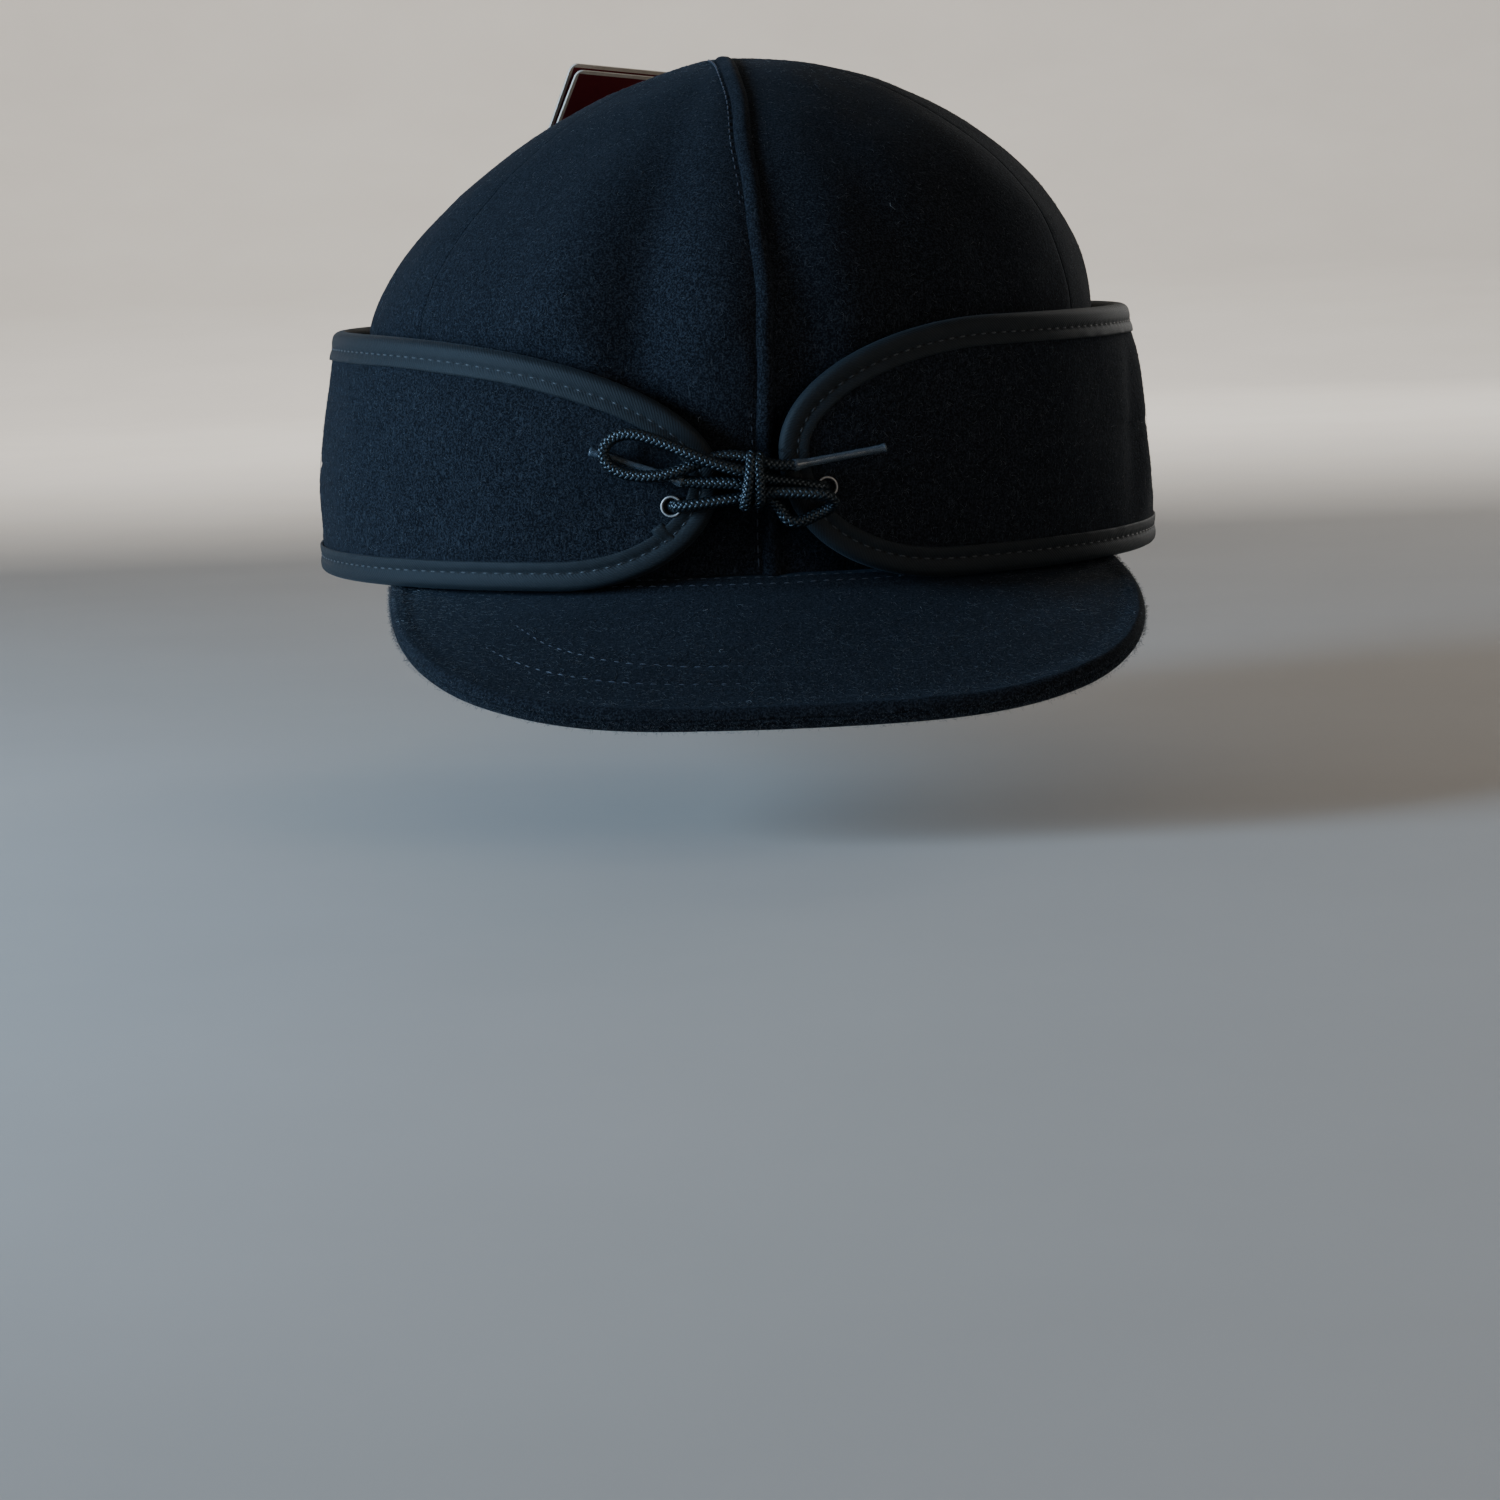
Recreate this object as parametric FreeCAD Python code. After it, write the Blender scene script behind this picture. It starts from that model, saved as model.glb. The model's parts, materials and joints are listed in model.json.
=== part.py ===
"""Six-panel wool cap with a stiffened visor and a bound earband that pulls down over the ears.

The earband is a loose ring of cloth round the crown. Its two front ends taper to rounded tips, which a laced
bow holds together above the visor. A gusset inside joins the band to the crown's lower edge.

Millimetres. +Z is up, -Y is the front of the cap, and the origin is the centre of the head opening.
A turn is the angle round the head in degrees: 0 at the front, 90 at +X, 180 at the back.
"""
import FreeCAD
import Part
import math
import os
from FreeCAD import Vector

# Crown
CROWN_HALF_WIDTH = 87.5
CROWN_HALF_LENGTH = 98.5
CROWN_HEIGHT = 122.5
SHOULDER_HEIGHT = 60.0  # below it the wall is nearly upright, above it the dome closes
WALL_SHARE = 0.4  # the share of the rise that the wall takes
DOME_POWER = 1.72  # 2 is a round dome, less is a more pointed one
DOME_POWER_LEAN = 0.22  # the dome is fuller by this on the +X side, and slacker by it on the other
BASE_TAPER = 0.045  # the share by which the lower edge is narrower than the shoulder
TOP_HOLE = 0.008  # where the six points meet, as a share of the half width
PANEL_COUNT = 6
SEAM_GAP_DEG = 0.12
WOOL = 2.0
LINING = 0.8
LAYER_GAP = 0.3
WELT_WIDTH = 3.8
WELT_PROFILE = (0.4, 1.2, 1.5, 1.2, 0.4)  # heights above the panels, from side to side
WELT_BASE = 0.18
SWEATBAND_HEIGHT = 32.0
SWEATBAND = 1.2
LABEL = 0.4
LABEL_GAP = 0.1

# Visor
VISOR_HALF_WIDTH = 85.0
VISOR_REACH = 153.0  # from the crown's centre to the middle of the front edge
VISOR_CORNER_Y = 60.0  # ahead of here the side edges curve in
VISOR_POWER = 3.1
VISOR_END_TURN = 73.0
VISOR_ROOT_HEIGHT = 5.0
VISOR_END_HEIGHT = 2.2
VISOR_EDGE_HEIGHT = 3.5
VISOR_EDGE_DROP = 22.2
VISOR_DROP_START = 35.0
VISOR_DROP_POWER = 1.8
VISOR_COVER = 1.6
VISOR_BOARD = 1.2
VISOR_BOARD_INSET = 3.0

# Earband
BAND_HALF_WIDTH = 101.5
BAND_TOP_TAPER = 5.5
BAND_TAPER_START = 20.0
BAND_TAPER_RUN = 40.0
BAND_FRONT = 103.6
BAND_BACK = 108.5
BAND_BACK_TAPER = 2.5
BAND_TOP = 60.5
BAND_BOTTOM = 3.7
BAND_WOOL = 1.9
BAND_LINING = 0.9
BINDING = 0.5
BINDING_WIDTH = 6.0
BINDING_BEND = 0.15  # the share of the binding's width that curves round the edge
BINDING_BACKSET = 1.1  # how far the band's own cloth stops short of the fold
BINDING_EASE = 0.12  # between the tape and the cloth that it covers
SPLIT_BOTTOM_TURN = 62.0
SPLIT_TOP_TURN = 76.0
SPLIT_GAP_DEG = 0.25
SPLIT_HEM_DEG = 1.5  # how far the slanting split runs across the width of a binding
GUSSET_TOP = 28.0
GUSSET = 0.9
GUSSET_FRONT_TURN = 79.0

# Lace, eyelets and tips
LACE_R = 1.3
EYELET_FLANGE_R = 2.5
EYELET_HOLE_R = 1.6
EYELET_BARREL_R = 1.9
EYELET_RIM = 0.5
EYELET_LIFT = 0.3  # the flange's underside above the cloth
EYELET_BACKSET = 0.15  # how far the barrel stands out behind
EYELET_ROUND = 0.3
EYELET_EASE = 0.05
WASHER = 0.3
STOP_BACKSET = 2.0  # from the band's inner face to the middle of the lace's stop knot
AGLET_R = 0.95
AGLET_FILM = 0.12
AGLET_SLEEVE = 2.6  # the length that tapers from the lace to the stem
AGLET_MOUTH = 1.0
AGLET_FLARE = 0.2
KNOT_CENTRE = Vector(-3.3, -107.6, 27.4)
KNOT_SIZE = (4.2, 3.9, 7.2)
STOP_SIZE = (3.2, 1.1, 3.0)

# Hang tag, on a plastic loop through the band's top edge
TAG_WIDTH = 42.0
TAG_HEIGHT = 71.0
TAG_CARD = 0.6
TAG_CORNER_R = 2.0
TAG_TURN = 207.0  # the way the card faces
TAG_LEAN_DEG = 33.0
TAG_ROLL_DEG = 6.0
TAG_BAND_TURN = 204.8  # where the loop holds the band
TAG_EDGE_UP = 1.2  # from the loop's centre to the card's near edge
TAG_HOLE_R = 1.6
LOOP_R = 5.0
LOOP_WIRE_R = 0.4
LOOP_ABOVE_BAND = 1.8

# Each front end of the band: side, tip distance from the middle and tip height, then for the top and the
# bottom edge the run over which it curves to the tip, the curve's power, and the edge's height behind that.
FLAPS = {
    "left": {"side": -1, "tip_x": 11.8, "tip_z": 27.7, "top": (97.0, 2.0, 60.6), "bottom": (36.0, 2.0, 3.7)},
    "right": {"side": 1, "tip_x": 2.5, "tip_z": 33.0, "top": (54.0, 2.0, 60.5), "bottom": (40.0, 2.2, 3.7)},
}
EYELETS = {"left": (-22.0, 21.9), "right": (12.3, 24.9)}

# Lace routes outside the knot, by hand: a lead from the eyelet, a loop and a tail to each lace.
LACE_ROUTES = {
    "left": [
        [(-21.6, -97.2, 21.9), (-22.0, -102.8, 21.9), (-18.8, -105.6, 22.2), (-12.5, -106.6, 22.9), (-6.0, -107.0, 23.5)],
        [(-1.0, -108.4, 24.8), (3.6, -109.3, 25.0), (8.6, -109.2, 24.6), (12.4, -108.6, 23.9), (15.3, -107.9, 22.3),
         (15.3, -107.2, 19.4), (12.3, -106.8, 17.9), (8.0, -106.9, 17.9), (3.0, -107.0, 19.2), (-1.6, -107.0, 22.0)],
        [(-6.0, -107.4, 26.5), (-11.2, -106.4, 27.0), (-15.6, -105.4, 27.1), (-19.9, -104.6, 27.6)],
    ],
    "right": [
        [(12.3, -98.6, 24.9), (12.0, -104.2, 24.9), (9.2, -106.1, 25.3), (4.6, -106.4, 26.4), (-1.0, -106.9, 27.2)],
        [(-5.6, -109.4, 29.2), (-11.8, -109.3, 30.9), (-18.2, -108.2, 33.7), (-25.0, -106.2, 36.9),
         (-31.4, -104.0, 38.8), (-36.0, -102.3, 36.9), (-37.0, -101.9, 33.0), (-33.6, -103.0, 29.8),
         (-27.4, -105.0, 28.7), (-21.2, -106.2, 29.5), (-15.2, -105.8, 31.9), (-9.6, -106.4, 33.0),
         (-5.0, -107.2, 32.2)],
        [(-2.2, -108.0, 31.0), (1.2, -107.8, 30.3), (5.2, -107.0, 30.2)],
    ],
}
AGLET_TIPS = {"left": (-39.4, -98.6, 34.6), "right": (25.6, -103.2, 33.0)}


def crown_point(turn, rise, inset=0.0):
    """A point on the crown, from rise 0 at the lower edge to 1 at the top, that far inside the outer face."""
    if rise < WALL_SHARE:
        s = rise / WALL_SHARE
        share, z = 1 - BASE_TAPER * (1 - s) ** 2, SHOULDER_HEIGHT * s
    else:
        power = DOME_POWER + DOME_POWER_LEAN * math.sin(math.radians(turn))
        angle = (rise - WALL_SHARE) / (1 - WALL_SHARE) * math.acos(TOP_HOLE ** (power / 2))
        share = math.cos(angle) ** (2 / power)
        z = SHOULDER_HEIGHT + (CROWN_HEIGHT - inset - SHOULDER_HEIGHT) * math.sin(angle) ** (2 / power)
    a = math.radians(turn)
    return Vector(
        (CROWN_HALF_WIDTH - inset) * share * math.sin(a), -(CROWN_HALF_LENGTH - inset) * share * math.cos(a), z
    )


def crown_wall(turn, z, inset=0.0):
    """A point on the crown's wall at a height below the shoulder."""
    return crown_point(turn, WALL_SHARE * z / SHOULDER_HEIGHT, inset)


def spaced(first, last, count):
    return [first + (last - first) * i / (count - 1) for i in range(count)]


def skin(outer, inner):
    """A closed solid between two grids of points of the same size."""
    faces, edges = [], []
    for grid in (outer, inner):
        surface = Part.BSplineSurface()
        surface.interpolate(grid)
        faces.append(surface.toShape())
        u0, u1, v0, v1 = surface.bounds()
        edges.append([surface.uIso(u0), surface.uIso(u1), surface.vIso(v0), surface.vIso(v1)])
    for outer_edge, inner_edge in zip(*edges):
        faces.append(Part.makeRuledSurface(outer_edge.toShape(), inner_edge.toShape()))
    shell = Part.makeShell(faces)
    shell.sewShape()
    return closed(Part.makeSolid(shell))


def closed(solid):
    """The solid with its faces turned outward."""
    if solid.Volume < 0:
        solid.reverse()
    return solid


def export(name, *solids):
    shape = solids[0] if len(solids) == 1 else Part.makeCompound(list(solids))
    shape.exportStep("parts/" + name + ".step")
    print(f"{name:28s} {shape.Volume:10.1f} mm3 {'ok' if shape.isValid() else 'NOT VALID'}")


def crown_gore(first_turn, last_turn, inset, thickness):
    turns = spaced(first_turn + SEAM_GAP_DEG, last_turn - SEAM_GAP_DEG, 7)
    rises = spaced(0.0, 1.0, 19)
    return skin(
        [[crown_point(t, r, inset) for r in rises] for t in turns],
        [[crown_point(t, r, inset + thickness) for r in rises] for t in turns],
    )


def make_crown():
    names = ["front_right", "side_right", "back_right", "back_left", "side_left", "front_left"]
    width = 360 / PANEL_COUNT
    for i, name in enumerate(names):
        export("crown_panel_" + name, crown_gore(i * width, (i + 1) * width, 0.0, WOOL))
        inner = WOOL + LAYER_GAP
        export("lining_panel_" + name, crown_gore(i * width, (i + 1) * width, inner, LINING))


def make_front_welt():
    """The lapped ridge over the front seam, from the visor to the top."""
    grids = [[], []]
    for rise in spaced(0.05, 1.0, 25):
        for grid, heights in zip(grids, (WELT_PROFILE, [WELT_BASE] * len(WELT_PROFILE))):
            across = spaced(-WELT_WIDTH / 2, WELT_WIDTH / 2, len(WELT_PROFILE))
            grid.append([crown_point(0, rise, -h) + Vector(x, 0, 0) for x, h in zip(across, heights)])
    export("front_seam_welt", skin(*grids))


def make_sweatband():
    inset = WOOL + LINING + 2 * LAYER_GAP
    turns = spaced(180.2, 539.8, 37)
    heights = spaced(0.4, SWEATBAND_HEIGHT, 5)
    export("sweatband", skin(
        [[crown_wall(t, z, inset) for z in heights] for t in turns],
        [[crown_wall(t, z, inset + SWEATBAND) for z in heights] for t in turns],
    ))
    label_inset = inset + SWEATBAND + LABEL_GAP
    turns, heights = spaced(171.0, 189.0, 5), spaced(6.0, 26.0, 4)
    export("size_label", skin(
        [[crown_wall(t, z, label_inset) for z in heights] for t in turns],
        [[crown_wall(t, z, label_inset + LABEL) for z in heights] for t in turns],
    ))


def visor_root(turn):
    """The visor's inner edge, on the crown's outer face."""
    share = (1 - math.cos(math.radians(turn))) / (1 - math.cos(math.radians(VISOR_END_TURN)))
    z = VISOR_ROOT_HEIGHT + (VISOR_END_HEIGHT - VISOR_ROOT_HEIGHT) * share
    return crown_wall(turn, z, -0.25)


def visor_rim(turn):
    """The visor's outer edge, on the ray from the crown's axis through the root at that turn."""
    root = visor_root(turn)
    low, high = 1.0, 2.5
    for _ in range(40):
        k = (low + high) / 2
        x, ahead = abs(root.x * k), -root.y * k
        past = max(ahead - VISOR_CORNER_Y, 0) / (VISOR_REACH - VISOR_CORNER_Y)
        inside = (x / VISOR_HALF_WIDTH) ** VISOR_POWER + past**VISOR_POWER < 1
        low, high = (k, high) if inside else (low, k)
    ahead = -root.y * low
    drop = max(ahead - VISOR_DROP_START, 0) / (VISOR_REACH - VISOR_DROP_START)
    z = VISOR_EDGE_HEIGHT - VISOR_EDGE_DROP * drop**VISOR_DROP_POWER
    return Vector(root.x * low, root.y * low, z)


def visor_layer(depth, thickness, end_turn, rim_inset):
    """A plate of the visor, that far under its top face."""
    turns = spaced(-end_turn, end_turn, 33)
    outer, inner = [], []
    for turn in turns:
        root, rim = visor_root(turn), visor_rim(turn)
        flat = Vector(rim.x - root.x, rim.y - root.y, 0)
        reach = max(1 - rim_inset / flat.Length, 0.1)
        line = [root + (rim - root) * (reach * s) for s in spaced(0.0, 1.0, 7)]
        outer.append([p - Vector(0, 0, depth) for p in line])
        inner.append([p - Vector(0, 0, depth + thickness) for p in line])
    return skin(outer, inner)


def make_visor():
    under = VISOR_COVER + VISOR_BOARD + 0.2
    export("visor_top_cover", visor_layer(0.0, VISOR_COVER, VISOR_END_TURN, 0.0))
    export("visor_board", visor_layer(VISOR_COVER + 0.1, VISOR_BOARD, VISOR_END_TURN - 18, VISOR_BOARD_INSET))
    export("visor_under_cover", visor_layer(under, VISOR_COVER, VISOR_END_TURN, 0.0))


def band_point(turn, z, depth=0.0):
    """A point on the earband, that far inside its outer wool face."""
    taper = (max(z - BAND_TAPER_START, 0) / BAND_TAPER_RUN) ** 1.5
    a = math.radians(turn)
    half_width = BAND_HALF_WIDTH - BAND_TOP_TAPER * taper
    half_length = BAND_FRONT if math.cos(a) > 0 else BAND_BACK - BAND_BACK_TAPER * taper
    return Vector((half_width - depth) * math.sin(a), -(half_length - depth) * math.cos(a), z)


def flap_edges(flap, x):
    """The bottom and top heights of a front end of the band, at a distance from the middle."""
    heights = []
    for run, power, level in (flap["bottom"], flap["top"]):
        left = max(1 - (x - flap["tip_x"]) / run, 0.0)
        heights.append(flap["tip_z"] + (level - flap["tip_z"]) * (1 - left**power) ** (1 / power))
    return heights


def flap_stations(first):
    """Shares of the way from tip to split, close together at the rounded tip."""
    return [u * u for u in spaced(first, 1.0, 16)]


def flap_line(flap, share):
    """The (turn, height) of a front end's bottom and top edges, from the tip to the slanting split."""
    tip_turn = math.degrees(math.asin(flap["tip_x"] / BAND_HALF_WIDTH))
    ends = []
    for edge, last_turn in enumerate((SPLIT_BOTTOM_TURN, SPLIT_TOP_TURN)):
        turn = tip_turn + (last_turn - SPLIT_GAP_DEG - tip_turn) * share
        x = BAND_HALF_WIDTH * math.sin(math.radians(turn))
        ends.append((turn, flap_edges(flap, x)[edge]))
    return ends


def flap_skin(flap, first_depth, last_depth):
    """A layer of a front end, inside its binding."""
    grids = [[], []]
    for share in flap_stations(0.12):
        (bottom_turn, bottom_z), (top_turn, top_z) = flap_line(flap, share)
        inset = min(BINDING_BACKSET, 0.3 * (top_z - bottom_z))
        bottom_z, top_z = bottom_z + inset, top_z - inset
        for grid, depth in zip(grids, (first_depth, last_depth)):
            grid.append([
                band_point(flap["side"] * (bottom_turn + (top_turn - bottom_turn) * k),
                           bottom_z + (top_z - bottom_z) * k, depth)
                for k in spaced(0.0, 1.0, 8)
            ])
    return skin(*grids)


def fold_line(swell):
    """The (share of width inward, depth) points of the folded tape's section, swollen by its thickness."""
    half = (BAND_WOOL + BAND_LINING) / 2
    reach = half + BINDING_EASE + swell
    line = [(k, -reach) for k in (1.0, 0.7, 0.4)]
    for angle in (-90, -45, 0, 45, 90):
        a = math.radians(angle)
        line.append((BINDING_BEND - (BINDING_BEND + swell / BINDING_WIDTH) * math.cos(a), reach * math.sin(a)))
    line += [(k, reach) for k in (0.4, 0.7, 1.0)]
    return [(k, half + depth) for k, depth in line]


def inward_steps(path, centre_side):
    """For a path of (turn, z) points, the (turn, z) step of the binding's width towards centre_side."""
    mm_per_deg = math.radians(1) * BAND_HALF_WIDTH
    steps = []
    for i in range(len(path)):
        before, after = path[max(i - 1, 0)], path[min(i + 1, len(path) - 1)]
        along = Vector((after[0] - before[0]) * mm_per_deg, after[1] - before[1], 0).normalize()
        across = Vector(-along.y, along.x, 0) * (centre_side * BINDING_WIDTH)
        steps.append((across.x / mm_per_deg, across.y))
    return steps


def smooth_curve(points, parameters):
    curve = Part.BSplineCurve()
    curve.interpolate(points, Parameters=parameters)
    return curve


def ruled(first, second):
    """The face of straight lines between two curves with the same knots."""
    surface = Part.BSplineSurface()
    surface.buildFromPolesMultsKnots(
        [first.getPoles(), second.getPoles()], [2, 2], first.getMultiplicities(), [0, 1], first.getKnots(),
        False, False, 1, first.Degree,
    )
    return surface.toShape()


def binding(path, centre_side):
    """A tape folded over the band's edge along a path of (turn, z) points, as strips between smooth lines."""
    section = fold_line(BINDING) + fold_line(0.0)[::-1]
    steps = inward_steps(path, centre_side)
    lines = [
        [band_point(turn + step[0] * k, z + step[1] * k, depth) for (turn, z), step in zip(path, steps)]
        for k, depth in section
    ]
    travelled = [0.0]
    for before, after in zip(path, path[1:]):
        run = (after[0] - before[0]) * math.radians(1) * BAND_HALF_WIDTH
        travelled.append(travelled[-1] + math.hypot(run, after[1] - before[1]))
    curves = [smooth_curve(line, travelled) for line in lines]
    faces = [ruled(a, b) for a, b in zip(curves, curves[1:] + curves[:1])]
    for end in (0, -1):
        ring = [line[end] for line in lines]
        for i in range(len(ring) // 2 - 1):
            outer, inner = (smooth_curve(ends, [0.0, 1.0]) for ends in (ring[i : i + 2], ring[::-1][i : i + 2]))
            faces.append(ruled(outer, inner))
    shell = Part.makeShell(faces)
    shell.sewShape()
    return closed(Part.makeSolid(shell))


def make_flap(name, flap):
    layers = (("band_front_", 0.0, BAND_WOOL), ("band_front_lining_", BAND_WOOL, BAND_WOOL + BAND_LINING))
    for node, first_depth, last_depth in layers:
        cloth = flap_skin(flap, first_depth, last_depth)
        export(node + name, pierced(cloth, name, EYELET_BARREL_R + EYELET_EASE))
    side = flap["side"]
    lines = [flap_line(flap, share) for share in flap_stations(0.07)]
    tip = flap_line(flap, 0.0)[0]
    outline = [line[0] for line in reversed(lines)] + [tip] + [line[1] for line in lines]
    outline[-1] = (outline[-1][0] - SPLIT_HEM_DEG, outline[-1][1])
    tape = binding([(side * turn, z) for turn, z in outline], -side)
    export("band_binding_front_" + name, pierced(tape, name, EYELET_FLANGE_R + 2 * EYELET_EASE))


def eyelet_frame(name):
    """The point on the band's outer face at an eyelet, and the way out of it."""
    x, z = EYELETS[name]
    turn = math.degrees(math.asin(x / BAND_HALF_WIDTH))
    here = band_point(turn, z)
    along = band_point(turn + 0.5, z) - band_point(turn - 0.5, z)
    return here, Vector(along.y, -along.x, 0).normalize()


def pierced(solid, name, radius):
    """The solid with a round hole through it for the eyelet."""
    here, out = eyelet_frame(name)
    reach = 10 * BAND_WOOL
    hole = Part.makeCylinder(radius, 2 * reach, here - out * reach, out)
    return solid.cut(hole).Solids[0]


def make_eyelet(name):
    here, out = eyelet_frame(name)
    stack = BAND_WOOL + BAND_LINING
    flange = Part.makeCylinder(EYELET_FLANGE_R, EYELET_RIM, here + out * EYELET_LIFT, out)
    back = stack + EYELET_BACKSET
    barrel = Part.makeCylinder(EYELET_BARREL_R, back + EYELET_LIFT + EYELET_RIM / 2, here - out * back, out)
    rim = pierced(flange.fuse(barrel).removeSplitter(), name, EYELET_HOLE_R)
    round_edges = [e for e in rim.Edges if isinstance(e.Curve, Part.Circle)
                   and e.Curve.Radius > EYELET_BARREL_R + EYELET_EASE
                   and (e.CenterOfMass - here).dot(out) > EYELET_LIFT + EYELET_RIM / 2]
    export("eyelet_" + name, rim.makeFillet(EYELET_ROUND, round_edges).Solids[0])
    washer = Part.makeCylinder(EYELET_FLANGE_R, WASHER, here - out * (back + WASHER + EYELET_EASE), out)
    export("eyelet_washer_" + name, pierced(washer, name, EYELET_BARREL_R + EYELET_EASE))


def tube(points, radius):
    """A round tube along straight runs joined by tangent arcs, as large as the runs beside them allow."""
    corners = [Vector(*p) for p in points]
    edges, start, radii = [], corners[0], []
    for before, corner, after in zip(corners, corners[1:], corners[2:]):
        back, ahead = (before - corner), (after - corner)
        run = 0.45 * min(back.Length, ahead.Length)
        back.normalize()
        ahead.normalize()
        half_turn = (math.pi - back.getAngle(ahead)) / 2
        arc_radius = run / math.tan(half_turn)
        radii.append(arc_radius)
        first, last = corner + back * run, corner + ahead * run
        bisector = (back + ahead).normalize()
        centre = corner + bisector * (run / math.tan(half_turn) / math.cos(half_turn))
        middle = centre - bisector * arc_radius
        edges += [Part.LineSegment(start, first).toShape(), Part.Arc(first, middle, last).toShape()]
        start = last
    edges.append(Part.LineSegment(start, corners[-1]).toShape())
    wire = Part.Wire(edges)
    ring = Part.Wire(Part.makeCircle(radius, corners[0], corners[1] - corners[0]))
    solid = closed(Part.Solid(wire.makePipeShell([ring], True, False)))
    expected = math.pi * radius**2 * wire.Length
    print(f"  tube {wire.Length:6.1f} mm, smallest radius {min(radii):5.2f} mm, volume ratio {solid.Volume / expected:.4f}")
    return solid, wire.Length


def ellipsoid(centre, size):
    ball = Part.makeSphere(1.0)
    matrix = FreeCAD.Matrix()
    matrix.scale(*size)
    matrix.move(centre)
    return ball.transformGeometry(matrix)


def make_laces():
    for name, routes in LACE_ROUTES.items():
        tubes = [tube(route, LACE_R) for route in routes]
        print(f"  lace_{name}: {sum(length for _, length in tubes):.1f} mm outside the knot")
        export("lace_" + name, *[solid for solid, _ in tubes])
        start, tip = Vector(*routes[2][-1]), Vector(*AGLET_TIPS[name])
        way = (tip - start).normalize()
        stem_length = (tip - start).Length - AGLET_SLEEVE - AGLET_MOUTH
        sleeve = Part.makeCone(LACE_R + AGLET_FILM, AGLET_R, AGLET_SLEEVE, start, way)
        stem = Part.makeCylinder(AGLET_R, stem_length, start + way * AGLET_SLEEVE, way)
        mouth = Part.makeCone(AGLET_R, AGLET_R + AGLET_FLARE, AGLET_MOUTH, tip - way * AGLET_MOUTH, way)
        export("aglet_" + name, sleeve.fuse([stem, mouth]).removeSplitter().Solids[0])
        here, out = eyelet_frame(name)
        stack = BAND_WOOL + BAND_LINING
        export("lace_stop_" + name, ellipsoid(here - out * (stack + STOP_BACKSET), STOP_SIZE))
    export("bow_knot", ellipsoid(KNOT_CENTRE, KNOT_SIZE))


def split_turn(share):
    return SPLIT_BOTTOM_TURN + (SPLIT_TOP_TURN - SPLIT_BOTTOM_TURN) * share


def rear_skin(first_depth, last_depth):
    """A layer of the band from one slanting split round the back to the other, inside its binding."""
    grids = [[], []]
    for share in spaced(0.0, 1.0, 33):
        for grid, depth in zip(grids, (first_depth, last_depth)):
            line = []
            for k in spaced(0.0, 1.0, 8):
                first = split_turn(k) + SPLIT_GAP_DEG
                turn = first + (360 - 2 * first) * share
                z = BAND_BOTTOM + BINDING_BACKSET + (BAND_TOP - BAND_BOTTOM - 2 * BINDING_BACKSET) * k
                line.append(band_point(turn, z, depth))
            grid.append(line)
    return skin(*grids)


def make_rear_band():
    export("band_rear", rear_skin(0.0, BAND_WOOL))
    export("band_rear_lining", rear_skin(BAND_WOOL, BAND_WOOL + BAND_LINING))
    bottom_turn, top_turn = SPLIT_BOTTOM_TURN + SPLIT_HEM_DEG + SPLIT_GAP_DEG, SPLIT_TOP_TURN + SPLIT_GAP_DEG
    bottom = [(turn, BAND_BOTTOM) for turn in spaced(bottom_turn, 360 - bottom_turn, 41)]
    top = [(turn, BAND_TOP) for turn in spaced(top_turn, 360 - top_turn, 41)]
    export("band_binding_rear_bottom", binding(bottom, 1))
    export("band_binding_rear_top", binding(top, -1))


def make_gusset():
    """The inner cloth ring from the crown's lower edge up to the middle of the band."""
    turns = spaced(GUSSET_FRONT_TURN, 360 - GUSSET_FRONT_TURN, 33)
    shares = spaced(0.0, 1.0, 6)
    grids = []
    for extra in (0.0, GUSSET):
        grid = []
        for turn in turns:
            low = crown_wall(turn, 1.0, -1.4 + extra)
            high = band_point(turn, GUSSET_TOP, BAND_WOOL + BAND_LINING + 0.6 + extra)
            grid.append([low + (high - low) * s for s in shares])
        grids.append(grid)
    export("band_gusset", skin(*grids))


def tag_frame():
    """The loop's centre, its level axis, and the tag's unit steps across, up and away from the crown."""
    centre = band_point(TAG_BAND_TURN, BAND_TOP, (BAND_WOOL + BAND_LINING) / 2) + Vector(0, 0, LOOP_ABOVE_BAND)
    a, lean, roll = (math.radians(v) for v in (TAG_TURN, TAG_LEAN_DEG, TAG_ROLL_DEG))
    outward = Vector(math.sin(a), -math.cos(a), 0)
    level = Vector(0, 0, 1).cross(outward)
    rising = Vector(0, 0, 1) * math.cos(lean) - outward * math.sin(lean)
    across = level * math.cos(roll) + rising * math.sin(roll)
    up = rising * math.cos(roll) - level * math.sin(roll)
    return centre, level, across, up, across.cross(up)


def tag_leaf(near, centre, across, up, out):
    """One rounded leaf of the card, its near face that far out."""
    placed = FreeCAD.Matrix(
        across.x, up.x, out.x, centre.x,
        across.y, up.y, out.y, centre.y,
        across.z, up.z, out.z, centre.z,
        0, 0, 0, 1,
    )
    leaf = Part.makeBox(TAG_WIDTH, TAG_HEIGHT, TAG_CARD, Vector(-TAG_WIDTH / 2, TAG_EDGE_UP, near))
    corners = [e for e in leaf.Edges if abs(e.tangentAt(e.FirstParameter).z) > 0.99]
    hole = Part.makeCylinder(TAG_HOLE_R, 4, Vector(0, LOOP_R, near - 2), Vector(0, 0, 1))
    return leaf.makeFillet(TAG_CORNER_R, corners).cut(hole).Solids[0].transformGeometry(placed)


def make_tag():
    centre, level, across, up, out = tag_frame()
    export("tag_front_leaf", tag_leaf(-TAG_CARD, centre, across, up, out))
    export("tag_back_leaf", tag_leaf(0.0, centre, across, up, out))
    export("tag_loop", Part.makeTorus(LOOP_R, LOOP_WIRE_R, centre, level))
    print("  tag hinge at", tuple(round(v, 2) for v in centre), "axis", tuple(round(v, 4) for v in level))


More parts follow.
